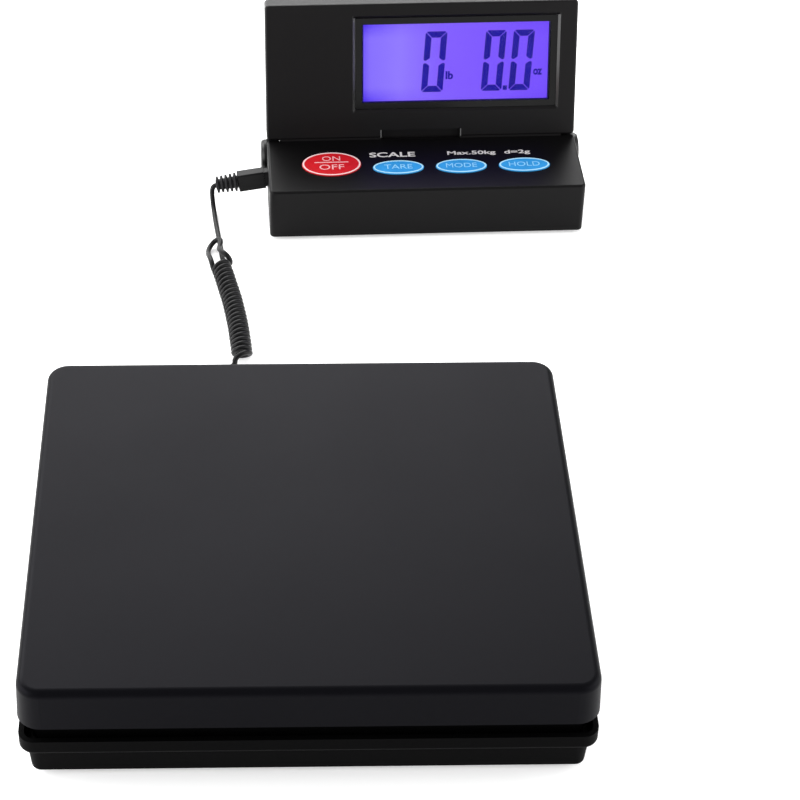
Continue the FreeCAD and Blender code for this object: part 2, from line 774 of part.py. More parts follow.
def cord_tube(node, points, radius, place):
    wire, radii = route_wire(points)
    direction = V(*points[1]) - V(*points[0])
    circle = Part.Wire(Part.Circle(V(*points[0]), direction, float(radius)).toShape())
    shape = wire.makePipeShell([circle], True, True)
    expected = math.pi * float(radius) ** 2 * wire.Length
    if abs(shape.Volume / expected - 1) > 0.01:
        raise RuntimeError(f"{node} is not a clean tube: {shape.Volume:.1f}, {expected:.1f}")
    tube = doc.addObject("Part::Feature", node)
    tube.Shape = shape
    keep(tube, node, place)
    print(node, f"length {wire.Length:.1f}", "radii", [round(r, 1) for r in radii])


def cord_gland():
    x, z = SIZES["gland_x"], SIZES["gland_up"]
    bore = cylinder("gland_bore", size("cord_radius") + 0.05, 30.0, (x, 98.0, z), "Y")
    solids = [cylinder("gland_nut", 5.2, 2.4, (x, 101.5, z), "Y"),
              cylinder("gland_neck", 3.9, 5.2, (x, 103.5, z), "Y"),
              cylinder("gland_collar", 5.4, 2.4, (x, 108.2, z), "Y"),
              cone("gland_taper", 3.6, 2.3, 13.4, (x, 110.5, z), "Y")]
    keep(cut("gland_cut", fuse("gland_solid", solids), bore), "cord_gland", platform_place)


def lead_clip():
    """A saddle on the housing floor that holds the cell's lead."""
    low, high = V(*CELL_ROUTE[3]), V(*CELL_ROUTE[4])
    middle = (low + high) / 2
    along = high - low
    along.normalize()
    base = box("clip_block", (8.0, 5.0, 7.8),
               (middle.x, middle.y, size("housing_bottom") + size("tray_floor")))
    hole = cylinder("clip_hole", size("cord_radius") + 0.35, 20.0, (0, 0, 0))
    hole.Placement = Placement(middle - along * 10, Rotation(V(0, 0, 1), along))
    keep(cut("clip_cut", base, hole), "lead_clip", platform_place)


# --- Display console ------------------------------------------------------------------------

def panel_point(back, up):
    """A point given in the panel's own directions, in the console's Y and Z at rest."""
    lean = math.radians(SIZES["panel_tilt"])
    y = SIZES["hinge_back"] + back * math.cos(lean) + up * math.sin(lean)
    z = SIZES["hinge_up"] - back * math.sin(lean) + up * math.cos(lean)
    return (y, z)


def round_point(radius, degrees):
    """A point about the hinge axis: 0 degrees is towards the back, 90 is up."""
    angle = math.radians(degrees)
    return (SIZES["hinge_back"] + radius * math.cos(angle),
            SIZES["hinge_up"] + radius * math.sin(angle))


def key_places():
    """Each key as (node, x, y, half width, half depth)."""
    small = (size("key_half_width"), size("key_half_depth"))
    names = ("tare_key", "mode_key", "hold_key")
    keys = [("on_off_key", size("power_key_x"), size("power_key_y"),
             size("power_key_half_width"), size("power_key_half_depth"))]
    for k, name in enumerate(names):
        keys.append((name, size("tare_key_x") + k * size("key_pitch"), size("key_y"), *small))
    return keys


def console_top_case():
    body = new_body("console_top_case")
    top, split, deep = SIZES["console_height"], SIZES["case_split"], SIZES["console_depth"]
    wall = SIZES["case_wall"]
    ear = SIZES["ear_radius"]
    step = math.degrees(math.acos((deep - SIZES["hinge_back"]) / ear))
    side = [(0.0, split), (0.0, top), (deep, top), round_point(ear, step),
            round_point(ear, 0) + ("arc",), round_point(ear, -90), (48.0, split)]
    block = outline(body, "console_side", "YZ_Plane", side)
    extrude(body, "Pad", block, size("console_width"), both=True)
    soften(body, "console_front_corners", size("console_corner"),
           lambda e: runs_along(e, "Z") and flat_at(e, "Y", 0.0))
    soften(body, "console_top_edge", 1.4,
           lambda e: flat_at(e, "Z", top) and e.BoundBox.YMin < deep - 1)
    gap = SIZES["panel_thickness"] / 2 + SIZES["hinge_gap"]
    lean = SIZES["panel_tilt"]
    well = [panel_point(-gap, 20.0), panel_point(-gap, 0.0),
            round_point(gap, 218) + ("arc",), round_point(gap, 270),
            (SIZES["hinge_back"], 0.0), (90.0, 0.0), (90.0, 45.0)]
    trough = outline(body, "hinge_trough", "YZ_Plane", well)
    inner = size("console_width") - 2 * size("ear_width")
    extrude(body, "Pocket", trough, inner, both=True)
    rear = 44.0
    room = [(wall, split - 1), (wall, top - wall), (47.0, top - wall), (rear, 24.5),
            (rear, split - 1)]
    hollow = outline(body, "console_room", "YZ_Plane", room)
    extrude(body, "Pocket", hollow, size("console_width") - 2 * size("case_wall"), both=True)
    pins = circles(body, "ear_pin_hole", "YZ_Plane", size("pin_radius") + 0.05, [(0.0, 0.0)],
                   (0, size("hinge_back"), size("hinge_up")))
    extrude(body, "Pocket", pins, size("console_width") + 2.0, both=True)
    for name, x, y, half_width, half_depth in key_places():
        opening = ellipse_hole(body, name + "_opening", half_width + size("key_gap"),
                               half_depth + size("key_gap"), (x, y, size("console_height") + 1.0))
        extrude(body, "Pocket", opening, size("case_wall") + 2.0)
    plug = rectangle(body, "plug_opening", "YZ_Plane", 7.2, 12.0, 1.0,
                     (-size("console_width") / 2 - 1, size("plug_y"), size("plug_up")))
    extrude(body, "Pocket", plug, size("case_wall") + 2.0, flip=True)
    jack = circles(body, "jack_opening", "YZ_Plane", 4.3, [(0.0, 0.0)],
                   (-size("console_width") / 2 - 1, size("jack_y"), size("jack_up")))
    extrude(body, "Pocket", jack, size("case_wall") + 2.0, flip=True)
    posts = circles(body, "case_posts", "XY_Plane", 3.4, CASE_SCREWS, (0, 0, size("case_split")))
    post_top = size("console_height") - size("case_wall") + 0.4
    extrude(body, "Pad", posts, post_top - size("case_split"))
    pilots = circles(body, "case_pilots", "XY_Plane", 1.3, CASE_SCREWS, (0, 0, size("case_split")))
    extrude(body, "Pocket", pilots, 12.0, flip=True)
    keep(body, "console_top_case", display_place)


CASE_SCREWS = [(-82.0, 8.0), (82.0, 8.0), (-28.0, 38.0), (78.0, 38.0)]
BAY = {"x": 30.0, "y": 22.5, "length": 54.0, "width": 35.0, "top": 17.6}

# The battery door turns on two tabs behind its rear edge. "back" is from the middle of the bay.
DOOR_HINGE = {"back": 18.7, "up": 3.1, "radius": 0.8, "spread": 16.0, "arm": 4.0, "tab": 5.6}


def console_bottom_case():
    body = new_body("console_bottom_case")
    bottom, split = size("console_bottom"), size("case_split")
    middle = 24.0
    depth = 48.0
    plan = rectangle(body, "bottom_plan", "XY_Plane", size("console_width"), depth,
                     size("console_corner"), (0, middle, bottom))
    extrude(body, "Pad", plan, split - bottom)
    soften(body, "bottom_edge", 0.8, lambda e: flat_at(e, "Z", SIZES["console_bottom"]))
    rail = 2 * size("case_wall") + 0.4
    lip = new_sketch(body, "bottom_lip", "XY_Plane", (0, 23.1, split))
    add_rectangle(lip, size("console_width") - rail, 41.2, 1.5, "outer_")
    add_rectangle(lip, size("console_width") - rail - 3.0, 38.2, 1.0, "inner_")
    extrude(body, "Pad", lip, 2.0)
    bay = rectangle(body, "bay_walls", "XY_Plane", BAY["length"] + 3.0, BAY["width"] + 3.0, 1.0,
                    (BAY["x"], BAY["y"], split - 0.5))
    extrude(body, "Pad", bay, BAY["top"] + 1.5 - float(split) + 0.5)
    room = rectangle(body, "bay_room", "XY_Plane", BAY["length"], BAY["width"], 0.5,
                     (BAY["x"], BAY["y"], bottom))
    extrude(body, "Pocket", room, BAY["top"] - float(bottom), flip=True)
    rim = BAY["y"] + BAY["width"] / 2
    soften(body, "bay_rim", 0.7,
           lambda e: flat_at(e, "Z", SIZES["console_bottom"]) and flat_at(e, "Y", rim))
    for side in (-1, 1):
        x = BAY["x"] + side * DOOR_HINGE["spread"]
        y = BAY["y"] + DOOR_HINGE["back"]
        slot = rectangle(body, f"door_slot_{side + 1}", "XY_Plane", DOOR_HINGE["arm"] + 0.4, 2.7,
                         0, (x, y - 0.35, bottom))
        extrude(body, "Pocket", slot, 2.0, flip=True)
        socket = circles(body, f"door_socket_{side + 1}", "YZ_Plane",
                         DOOR_HINGE["radius"] + 0.05, [(0.0, 0.0)], (x, y, DOOR_HINGE["up"]))
        extrude(body, "Pocket", socket, DOOR_HINGE["tab"] + 0.4, both=True)
    wells = circles(body, "screw_wells", "XY_Plane", 3.1, CASE_SCREWS, (0, 0, bottom))
    extrude(body, "Pocket", wells, 1.4, flip=True)
    holes = circles(body, "screw_holes", "XY_Plane", 1.45, CASE_SCREWS, (0, 0, bottom))
    extrude(body, "Pocket", holes, 6.0, flip=True)
    keep(body, "console_bottom_case", display_place)


def console_feet():
    discs = []
    for k, (x, y) in enumerate([(-74.0, 8.5), (74.0, 8.5), (-74.0, 40.5), (74.0, 40.5)]):
        discs.append(cone(f"console_foot_{k}", 3.6, 4.0, size("console_bottom"), (x, y, 0), "Z"))
    keep(fuse("console_foot_set", discs), "console_feet", display_place)


def console_screws():
    seat = SIZES["console_bottom"] + 1.4
    screws("case_screws", [(x, y, seat) for x, y in CASE_SCREWS], (2.7, 1.3), (1.25, 9.0),
           display_place, head_up=False)


def battery_door():
    body = new_body("battery_door")
    plate = rectangle(body, "door_plan", "XY_Plane", BAY["length"] - 0.5, BAY["width"] - 0.5, 0.5,
                      (BAY["x"], BAY["y"], size("console_bottom") + 0.1))
    extrude(body, "Pad", plate, 2.0)
    grips = rectangle(body, "door_grip", "XY_Plane", 14.0, 1.0, 0.3,
                      (BAY["x"], BAY["y"] - 14.0, size("console_bottom") + 0.1))
    grip = extrude(body, "Pocket", grips, 0.5, flip=True)
    pattern(body, grip, "Y_Axis", 4.0, 3)
    reach = DOOR_HINGE["back"] - BAY["width"] / 2 + 1.0
    for side in (-1, 1):
        x = BAY["x"] + side * DOOR_HINGE["spread"]
        y = BAY["y"] + DOOR_HINGE["back"]
        arm = rectangle(body, f"door_arm_{side + 1}", "XY_Plane", DOOR_HINGE["arm"], reach, 0,
                        (x, y - reach / 2, DOOR_HINGE["up"] - DOOR_HINGE["radius"]))
        extrude(body, "Pad", arm, 2 * DOOR_HINGE["radius"])
        tab = circles(body, f"door_tab_{side + 1}", "YZ_Plane", DOOR_HINGE["radius"],
                      [(0.0, 0.0)], (x, y, DOOR_HINGE["up"]))
        extrude(body, "Pad", tab, DOOR_HINGE["tab"], both=True)
    keep(body, "battery_door", display_place)


CELL_LENGTH = 44.0
CELL_RADIUS = 5.2
CELL_PITCH = 11.4
CELL_UP = 10.4


def batteries():
    solids = []
    for k in (-1, 0, 1):
        y = BAY["y"] + k * CELL_PITCH
        start = BAY["x"] - CELL_LENGTH / 2
        can = (start, y, CELL_UP)
        solids.append(cylinder(f"cell_can_{k + 1}", CELL_RADIUS, CELL_LENGTH, can, "X"))
        nub = (start + CELL_LENGTH, y, CELL_UP) if k % 2 else can
        solids.append(cylinder(f"cell_nub_{k + 1}", 1.9, 1.2, nub, "X" if k % 2 else "-X"))
    keep(fuse("cell_set", solids), "batteries", display_place)


def battery_contacts():
    solids = []
    for side in (-1, 1):
        for k in (-1, 0, 1):
            name = f"{side + 1}_{k + 1}"
            x = BAY["x"] + side * (BAY["length"] / 2 - 0.5)
            y = BAY["y"] + k * CELL_PITCH
            solids.append(box("contact_plate_" + name, (0.6, 8.0, 8.0), (x, y, 6.4)))
            positive = (side > 0) == bool(k % 2)
            if not positive:
                start = (x - side * 0.3, y, CELL_UP)
                axis = "-X" if side > 0 else "X"
                solids.append(cone("contact_spring_" + name, 3.4, 2.2, 3.6, start, axis))
    keep(fuse("contact_set", solids), "battery_contacts", display_place)


def main_board():
    board = box("board_plate", (150.0, 33.0, 1.6), (0.0, 22.6, 21.0))
    chips = [box("board_chip", (14.0, 14.0, 2.0), (-30.0, 23.0, 22.6 - 0.01)),
             box("board_adc", (8.0, 5.0, 1.5), (-62.0, 16.0, 22.6 - 0.01)),
             cylinder("board_buzzer", 6.0, 4.0, (-20.0, 24.0, 17.0)),
             box("board_crystal", (10.0, 4.0, 3.4), (-52.0, 30.0, 17.6))]
    holes = [cylinder(f"board_hole_{k}", 4.2, 6.0, (x, y, 19.0))
             for k, (x, y) in enumerate(CASE_SCREWS[2:])]
    solid = cut("board_cut", fuse("board_set", [board] + chips), fuse("board_holes", holes))
    keep(solid, "main_board", display_place)


def ellipse_solid(name, half_width, half_depth, bottom, height, x, y):
    curve = doc.addObject("Part::Ellipse", name + "_oval")
    bind(curve, "MajorRadius", half_width)
    bind(curve, "MinorRadius", half_depth)
    curve.Placement = Placement(V(float(x), float(y), float(bottom)), Rotation())
    solid = doc.addObject("Part::Extrusion", name)
    solid.Base = curve
    solid.DirMode = "Custom"
    solid.Dir = V(0, 0, 1)
    solid.Solid = True
    bind(solid, "LengthFwd", height)
    return solid


def keypad_mat():
    """A silicone sheet on the board with a springy dome under each key."""
    bottom = 24.8
    thickness = 0.8
    solids = [box("mat_sheet", (126.0, 24.0, thickness), (1.5, 22.0, bottom))]
    for name, x, y, *_ in key_places():
        solids.append(cone(name + "_dome", 4.6, 3.2, 0.9,
                           (float(x), float(y), bottom + thickness - 0.01), "Z"))
    keep(fuse("mat_set", solids), "keypad_mat", display_place)


def keys():
    """Oval keys with a flange that holds them under the case."""
    travel_room = 26.6
    flange_top = size("console_height") - size("case_wall") - 0.1
    for name, x, y, half_width, half_depth in key_places():
        cap_height = size("console_height") + size("key_rise") - (flange_top - 1.0)
        flange = ellipse_solid(name + "_flange", half_width + 1.2, half_depth + 1.2,
                               flange_top - 1.2, Size(1.2), x, y)
        cap = ellipse_solid(name + "_cap", half_width, half_depth, flange_top - 1.0, cap_height,
                            x, y)
        stem_height = float(flange_top) - 1.0 - travel_room
        stem = cylinder(name + "_stem", 3.0, stem_height, (float(x), float(y), travel_room))
        joined = fuse(name + "_solid", [cap, flange, stem])
        doc.recompute()
        rounded = doc.addObject("Part::Fillet", name + "_rounded")
        rounded.Base = joined
        level = SIZES["console_height"] + SIZES["key_rise"]
        tops = [k for k, e in enumerate(joined.Shape.Edges, start=1) if flat_at(e, "Z", level)]
        rounded.Edges = [(k, 0.3, 0.3) for k in tops]
        keep(rounded, name, display_place)


def dc_jack():
    """A barrel socket for a mains adapter, with its centre pin."""
    x = -SIZES["console_width"] / 2
    y, z = SIZES["jack_y"], SIZES["jack_up"]
    shell = fuse("jack_shell", [cylinder("jack_barrel", 4.2, 12.0, (x + 0.3, y, z), "X"),
                                box("jack_block", (9.0, 9.6, 9.6), (x + 8.6, y, z - 4.8))])
    bore = cylinder("jack_bore", 2.8, 9.5, (x - 1.0, y, z), "X")
    pin = cylinder("jack_pin", 0.95, 8.6, (x + 0.9, y, z), "X")
    keep(fuse("jack_set", [cut("jack_cut", shell, bore), pin]), "dc_jack", display_place)


def cord_socket():
    """The socket inside the console that the cord's plug fits."""
    x = -SIZES["console_width"] / 2 + SIZES["case_wall"]
    y, z = SIZES["plug_y"], SIZES["plug_up"]
    block = box("socket_block", (12.0, 9.0, 15.4), (x + 6.2, y, z - 7.0))
    room = box("socket_room", (9.0, 5.4, 11.9), (x + 4.0, y, z - 5.2))
    keep(cut("socket_cut", block, room), "cord_socket", display_place)


RELIEF = {"start": 17.6, "length": 13.0, "ribs": 5}


def plug_place():
    """The plug droops about the middle of its mouth in the console's left side. Its own axes
    have the mouth as their origin and X along the plug."""
    mouth = V(-SIZES["console_width"] / 2, SIZES["plug_y"], SIZES["plug_up"])
    droop = Placement(mouth, Rotation(V(0, 1, 0), -SIZES["plug_droop"]))
    return display_place.multiply(droop)


def plug_body():
    body = new_body("plug_body")
    block = rectangle(body, "plug_block", "YZ_Plane", 6.6, 11.2, 0.8, (-RELIEF["start"], 0, 0))
    extrude(body, "Pad", block, 15.6)
    collar = rectangle(body, "plug_collar", "YZ_Plane", 5.6, 9.8, 0.8, (-2.0, 0, 0))
    extrude(body, "Pad", collar, 3.8)
    nose = rectangle(body, "plug_nose", "YZ_Plane", 5.2, 9.2, 0.4, (1.8, 0, 0))
    extrude(body, "Pad", nose, 8.0)
    soften(body, "plug_edges", 0.6, lambda e: flat_at(e, "X", -RELIEF["start"]))
    keep(body, "plug_body", plug_place())


def plug_relief():
    """A ribbed, tapered sleeve that keeps the cord from kinking at the plug."""
    step = RELIEF["length"] / RELIEF["ribs"]
    bore = SIZES["cord_radius"] + 0.05
    points = [(0.0, bore), (0.0, 3.6)]
    for k in range(RELIEF["ribs"]):
        start = -step * k
        rib = 5.5 - 0.14 * k
        groove = 3.6 - 0.12 * k
        points += [(start - 0.28 * step, groove), (start - 0.42 * step, rib),
                   (start - 0.82 * step, rib - 0.1), (start - 0.96 * step, groove - 0.1)]
    points += [(-RELIEF["length"], 2.9), (-RELIEF["length"], bore)]
    body = turned("plug_relief", points, "X_Axis", None)
    offset = Placement(V(-RELIEF["start"], 0, 0), Rotation())
    keep(body, "plug_relief", plug_place().multiply(offset))


# --- Display panel --------------------------------------------------------------------------
# In the panel's own directions Y is through its thickness, Z is up the panel, and the hinge axis
# is X. The two cases meet at the middle of the thickness.

def panel_top():
    return size("panel_root") + size("panel_length")


def panel_room():
    """Width, height and middle of the space inside the panel."""
    bottom = 20.0
    top = panel_top() - size("panel_wall")
    return size("console_width") - 2 * size("panel_wall"), top - bottom, (top + bottom) / 2


PANEL_SCREWS = [(-82.0, 27.0), (83.5, 24.5), (-82.0, 83.5), (-20.0, 85.5)]


def panel_half(node, front):
    """One half of the panel: a full-width slab and half of the hinge barrel below it."""
    body = new_body(node)
    half = size("panel_thickness") / 2
    middle = size("panel_root") + size("panel_length") / 2
    slab = rectangle(body, node + "_plan", "XZ_Plane", size("console_width"),
                     size("panel_length"), size("panel_corner"), (0, 0, middle))
    extrude(body, "Pad", slab, half, flip=not front)
    side = -1 if front else 1
    face = side * SIZES["panel_thickness"] / 2
    soften(body, node + "_edges", 1.3, lambda e: flat_at(e, "Y", face))
    reach = float(half)
    root = SIZES["panel_root"] + 0.5
    diagonal = reach * math.sqrt(0.5)
    barrel = [(0.0, -reach), (side * diagonal, -diagonal, "arc"), (side * reach, 0.0),
              (side * reach, root), (0.0, root)]
    if not front:
        barrel = list(reversed(barrel))
    neck = outline(body, node + "_neck", "YZ_Plane", barrel)
    narrow = size("console_width") - 2 * size("ear_width") - 2 * size("hinge_gap")
    extrude(body, "Pad", neck, narrow, both=True)
    bore = circles(body, node + "_bore", "YZ_Plane", 6.2, [(0.0, 0.0)])
    extrude(body, "Pocket", bore, narrow - 10.0, both=True)
    pin = circles(body, node + "_pin_hole", "YZ_Plane", size("pin_radius") + 0.05, [(0.0, 0.0)])
    extrude(body, "Pocket", pin, narrow + 2.0, both=True)
    return body


def panel_front_case():
    body = panel_half("panel_front_case", True)
    half = size("panel_thickness") / 2
    width, height, middle = panel_room()
    room = rectangle(body, "front_room", "XZ_Plane", width, height, 1.0, (0, 0, middle))
    extrude(body, "Pocket", room, half - 3.6, flip=True)
    spot = (size("window_x"), -half, size("window_up"))
    recess = rectangle(body, "window_recess", "XZ_Plane", size("recess_width"),
                       size("recess_height"), 0.4, spot)
    extrude(body, "Pocket", recess, size("recess_depth"))
    opening = rectangle(body, "window_opening", "XZ_Plane", size("window_width"),
                        size("window_height"), 0.5, spot)
    extrude(body, "Pocket", opening, 4.0)
    face = -SIZES["panel_thickness"] / 2
    soften(body, "window_bevel", 1.4,
           lambda e: flat_at(e, "Y", face) and e.BoundBox.XMin > -60 and e.BoundBox.ZMin > 25,
           kind="Chamfer")
    notch = rectangle(body, "hinge_notch", "XZ_Plane", size("notch_width"),
                      size("notch_height") + 1.0, 0,
                      (0, -half, size("panel_root") + size("notch_height") / 2 - 0.5))
    extrude(body, "Pocket", notch, size("notch_depth"))
    posts = circles(body, "front_posts", "XZ_Plane", 3.0, PANEL_SCREWS, (0, -half + 3.4, 0))
    extrude(body, "Pad", posts, half - 3.4, flip=True)
    pilots = circles(body, "front_pilots", "XZ_Plane", 1.2, PANEL_SCREWS, (0, 0, 0))
    extrude(body, "Pocket", pilots, 5.0, flip=True)
    keep(body, "panel_front_case", panel_place)


def panel_rear_case():
    body = panel_half("panel_rear_case", False)
    half = size("panel_thickness") / 2
    width, height, middle = panel_room()
    room = rectangle(body, "rear_room", "XZ_Plane", width, height, 1.0, (0, 0, middle))
    extrude(body, "Pocket", room, half - size("panel_wall"), flip=False)
    posts = circles(body, "rear_posts", "XZ_Plane", 3.0, PANEL_SCREWS, (0, half - 2.0, 0))
    extrude(body, "Pad", posts, half - 2.0, flip=False)
    wells = circles(body, "rear_wells", "XZ_Plane", 2.5, PANEL_SCREWS, (0, half, 0))
    extrude(body, "Pocket", wells, 4.0, flip=True)
    holes = circles(body, "rear_screw_holes", "XZ_Plane", 1.35, PANEL_SCREWS, (0, half, 0))
    extrude(body, "Pocket", holes, half + 1.0, flip=True)
    duct = circles(body, "wire_duct", "XY_Plane", 2.2, [(0.0, 0.0)], (-40.0, 3.6, 0.0))
    extrude(body, "Pocket", duct, 24.0, flip=True)
    keep(body, "panel_rear_case", panel_place)


def panel_insides():
    x, up = size("window_x"), size("window_up")
    window = rectangle_plate("lcd_window", size("recess_width") - 0.4,
                             size("recess_height") - 0.4, 1.0, x, up,
                             -size("panel_thickness") / 2 + size("recess_depth") - 1.02)
    glass = rectangle_plate("lcd_glass", 112.0, 50.0, 2.2, x, up, Size(-5.1))
    light = rectangle_plate("backlight", 112.0, 50.0, 2.6, x, up, Size(-2.8))
    keep(window, "lcd_window", panel_place)
    keep(glass, "lcd_glass", panel_place)
    keep(light, "backlight", panel_place)
    board = rectangle_plate("lcd_board_plate", 116.0, 52.0, 1.6, x, up, Size(0.0))
    chip = rectangle_plate("lcd_driver", 12.0, 12.0, 1.8, x - 20.0, up, Size(1.5))
    keep(fuse("lcd_board_set", [board, chip]), "lcd_board", panel_place)


def rectangle_plate(name, width, height, thickness, x, up, front):
    """A plate standing in the panel, with its front face at depth front."""
    plate = doc.addObject("Part::Box", name)
    bind(plate, "Length", width)
    bind(plate, "Width", thickness)
    bind(plate, "Height", height)
    corner = V(float(x) - float(width) / 2, float(front), float(up) - float(height) / 2)
    plate.Placement = Placement(corner, Rotation())
    return joined_copy(name, plate)


def joined_copy(name, plate):
    """Wraps a placed box so that the sub-part can have the panel's placement."""
    wrapper = doc.addObject("Part::Compound", name + "_part")
    wrapper.Links = [plate]
    return wrapper


def panel_fixings():
    half = SIZES["panel_thickness"] / 2
    solids = []
    for k, (x, up) in enumerate(PANEL_SCREWS):
        solids.append(cylinder(f"panel_screw_head_{k}", 2.3, 1.5, (x, half - 3.95, up), "Y"))
        solids.append(cylinder(f"panel_screw_shank_{k}", 1.15, 7.5, (x, half - 11.4, up), "Y"))
    keep(fuse("panel_screw_set", solids), "panel_screws", panel_place)


# --- Hinge ----------------------------------------------------------------------------------

def hinge_parts():
    """A pin through each ear into the panel's barrel, hollow on the left for the wires."""
    half = SIZES["console_width"] / 2
    y, z = SIZES["hinge_back"], SIZES["hinge_up"]
    left = cut("pin_left_cut", cylinder("pin_left", size("pin_radius"), 18.0, (-half, y, z), "X"),
               cylinder("pin_left_bore", 2.0, 20.0, (-half - 1, y, z), "X"))
    right = cylinder("pin_right", size("pin_radius"), 18.0, (half - 18.0, y, z), "X")
    keep(fuse("pin_set", [left, right]), "hinge_pins", display_place)
    profile = [(0.0, 0.0), (0.0, 10.0), (1.6, 10.0), (3.0, 9.2), (3.5, 7.4), (3.5, 0.0)]
    for side, node in ((-1, "hinge_cap_left"), (1, "hinge_cap_right")):
        cap = turned(node, profile, "X_Axis", None)
        turn = Rotation() if side > 0 else Rotation(V(0, 0, 1), 180)
        offset = Placement(V(side * (half + 0.02), y, z), turn)
        keep(cap, node, display_place.multiply(offset))


def panel_wires():
    """The wires to the panel run along the hinge axis and up into the panel."""
    route = [(-78.0, 0.0, 0.0), (-62.0, 0.3, 0.0), (-49.0, 1.8, 0.0), (-42.5, 3.3, 1.0),
             (-40.0, 3.6, 5.5), (-40.0, 3.6, 24.0)]
    cord_tube("panel_wires", route, 1.3, panel_place)


# --- Build everything -----------------------------------------------------------------------

platform_cover()
upper_bracket()
spacer("upper_spacer", 1, cell_bottom() + size("cell_height"), size("upper_spacer_thickness"))
load_cell()
spacer("lower_spacer", -1, cell_bottom() - size("lower_spacer_thickness"),
       size("lower_spacer_thickness"))
lower_bracket()
cell_fixings()
gauge_sealant()
overload_stops()
lower_housing()
rubber_feet()
cord_gland()
cord_tube("cell_lead", CELL_ROUTE, size("cord_radius"), platform_place)
lead_clip()
cord_tube("cord_tail", TAIL_ROUTE, size("cord_radius"), platform_place)
cord_tube("cord_coil", COIL_ROUTE, size("coil_radius"), platform_place)
cord_tube("cord_lead", LEAD_ROUTE, size("cord_radius"), platform_place)
plug_body()
plug_relief()
cord_socket()
dc_jack()
console_top_case()
console_bottom_case()
console_feet()
console_screws()
battery_door()
batteries()
battery_contacts()
main_board()
keypad_mat()
keys()
panel_front_case()
panel_rear_case()
panel_insides()
panel_fixings()
hinge_parts()
panel_wires()
doc.recompute()

# --- Check and write ------------------------------------------------------------------------

for thing in doc.Objects:
    if "Invalid" in thing.State or "Error" in thing.State:
        raise RuntimeError(f"{thing.Name} is {thing.State}")

os.makedirs("parts", exist_ok=True)
CORD_NODES = ("cord_tail", "cord_coil", "cord_lead", "plug_body", "plug_relief", "cord_gland")
whole = FreeCAD.BoundBox()
for node, thing in NODES.items():
    shape = thing.Shape
    if shape.isNull() or not shape.isValid() or not shape.Solids:
        raise RuntimeError(node + " has no valid solid")
    shape.exportStep(f"parts/{node}.step")
    if node not in CORD_NODES:
        whole.add(shape.optimalBoundingBox())

print(len(NODES), "sub-parts")
print("middle", round(whole.Center.x, 3), round(whole.Center.y, 3), "lowest", round(whole.ZMin, 3))
print("size", round(whole.XLength, 2), round(whole.YLength, 2), round(whole.ZLength, 2))
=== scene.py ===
import json
import math

import bmesh
import bpy
from mathutils import Matrix, Vector
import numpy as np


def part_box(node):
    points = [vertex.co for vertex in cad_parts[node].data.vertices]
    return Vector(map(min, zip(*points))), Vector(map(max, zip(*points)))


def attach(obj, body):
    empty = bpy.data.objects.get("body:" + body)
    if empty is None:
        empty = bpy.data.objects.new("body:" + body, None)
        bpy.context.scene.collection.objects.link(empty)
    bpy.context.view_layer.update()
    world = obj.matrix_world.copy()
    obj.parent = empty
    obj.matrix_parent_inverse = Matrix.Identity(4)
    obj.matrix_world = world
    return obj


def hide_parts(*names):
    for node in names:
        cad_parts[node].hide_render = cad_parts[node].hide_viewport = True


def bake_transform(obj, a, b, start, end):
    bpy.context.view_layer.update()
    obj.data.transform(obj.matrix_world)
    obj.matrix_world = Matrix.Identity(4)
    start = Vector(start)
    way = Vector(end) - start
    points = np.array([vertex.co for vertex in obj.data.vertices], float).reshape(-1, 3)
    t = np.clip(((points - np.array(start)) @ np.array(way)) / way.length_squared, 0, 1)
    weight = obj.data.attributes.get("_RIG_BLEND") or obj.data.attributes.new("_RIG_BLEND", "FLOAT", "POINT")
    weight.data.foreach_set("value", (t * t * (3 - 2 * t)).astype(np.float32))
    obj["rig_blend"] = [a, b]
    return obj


# Looks for the platform shipping scale. Everything is in metres, in the CAD model's frame:
# +X to the right, +Y away from the user, +Z up, with the floor at z = 0. A piece's mesh holds
# its place, as a CAD node's does.

MM = 0.001
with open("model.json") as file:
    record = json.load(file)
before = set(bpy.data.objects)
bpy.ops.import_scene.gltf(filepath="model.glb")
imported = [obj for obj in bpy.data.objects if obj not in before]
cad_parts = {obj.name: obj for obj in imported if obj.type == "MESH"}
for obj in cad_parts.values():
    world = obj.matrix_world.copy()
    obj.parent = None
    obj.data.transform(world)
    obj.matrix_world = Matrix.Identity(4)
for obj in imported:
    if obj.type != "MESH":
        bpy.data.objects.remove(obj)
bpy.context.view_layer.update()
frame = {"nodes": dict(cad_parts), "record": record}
nodes = frame["nodes"]
scene = bpy.context.scene


def joint(name):
    return next(j for j in frame["record"]["behaviour"]["joints"] if j["name"] == name)


def mount(name):
    return next(m for m in frame["record"]["mounts"] if m["name"] == name)


# The middle of the platform on the floor, from the record.
platform_top = Vector(mount("platform_top")["pos_m"])
platform_middle = Vector((platform_top.x, platform_top.y, 0.0))

# The display's own axes, from its hinge: X along the hinge, Y to the back, Z up. The panel's own
# axes have the hinge as their origin and Z up the panel, which leans back by PANEL_TILT.
HINGE_BACK = 58.0
HINGE_UP = 19.5
PANEL_TILT = 17.0
hinge = Vector(joint("panel_tilt")["pos_m"])
hinge_axis = -Vector(joint("panel_tilt")["axis"])
yaw = math.atan2(hinge_axis.y, hinge_axis.x)
turn = Matrix.Rotation(yaw, 4, "Z")
display_frame = Matrix.Translation(hinge) @ turn @ Matrix.Translation(
    Vector((0, -HINGE_BACK, -HINGE_UP)) * MM)
panel_frame = (Matrix.Translation(hinge) @ turn
               @ Matrix.Rotation(-math.radians(PANEL_TILT), 4, "X"))


def middle_of(node):
    low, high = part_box(node)
    return (low + high) / 2


# --- Camera ---------------------------------------------------------------------------------

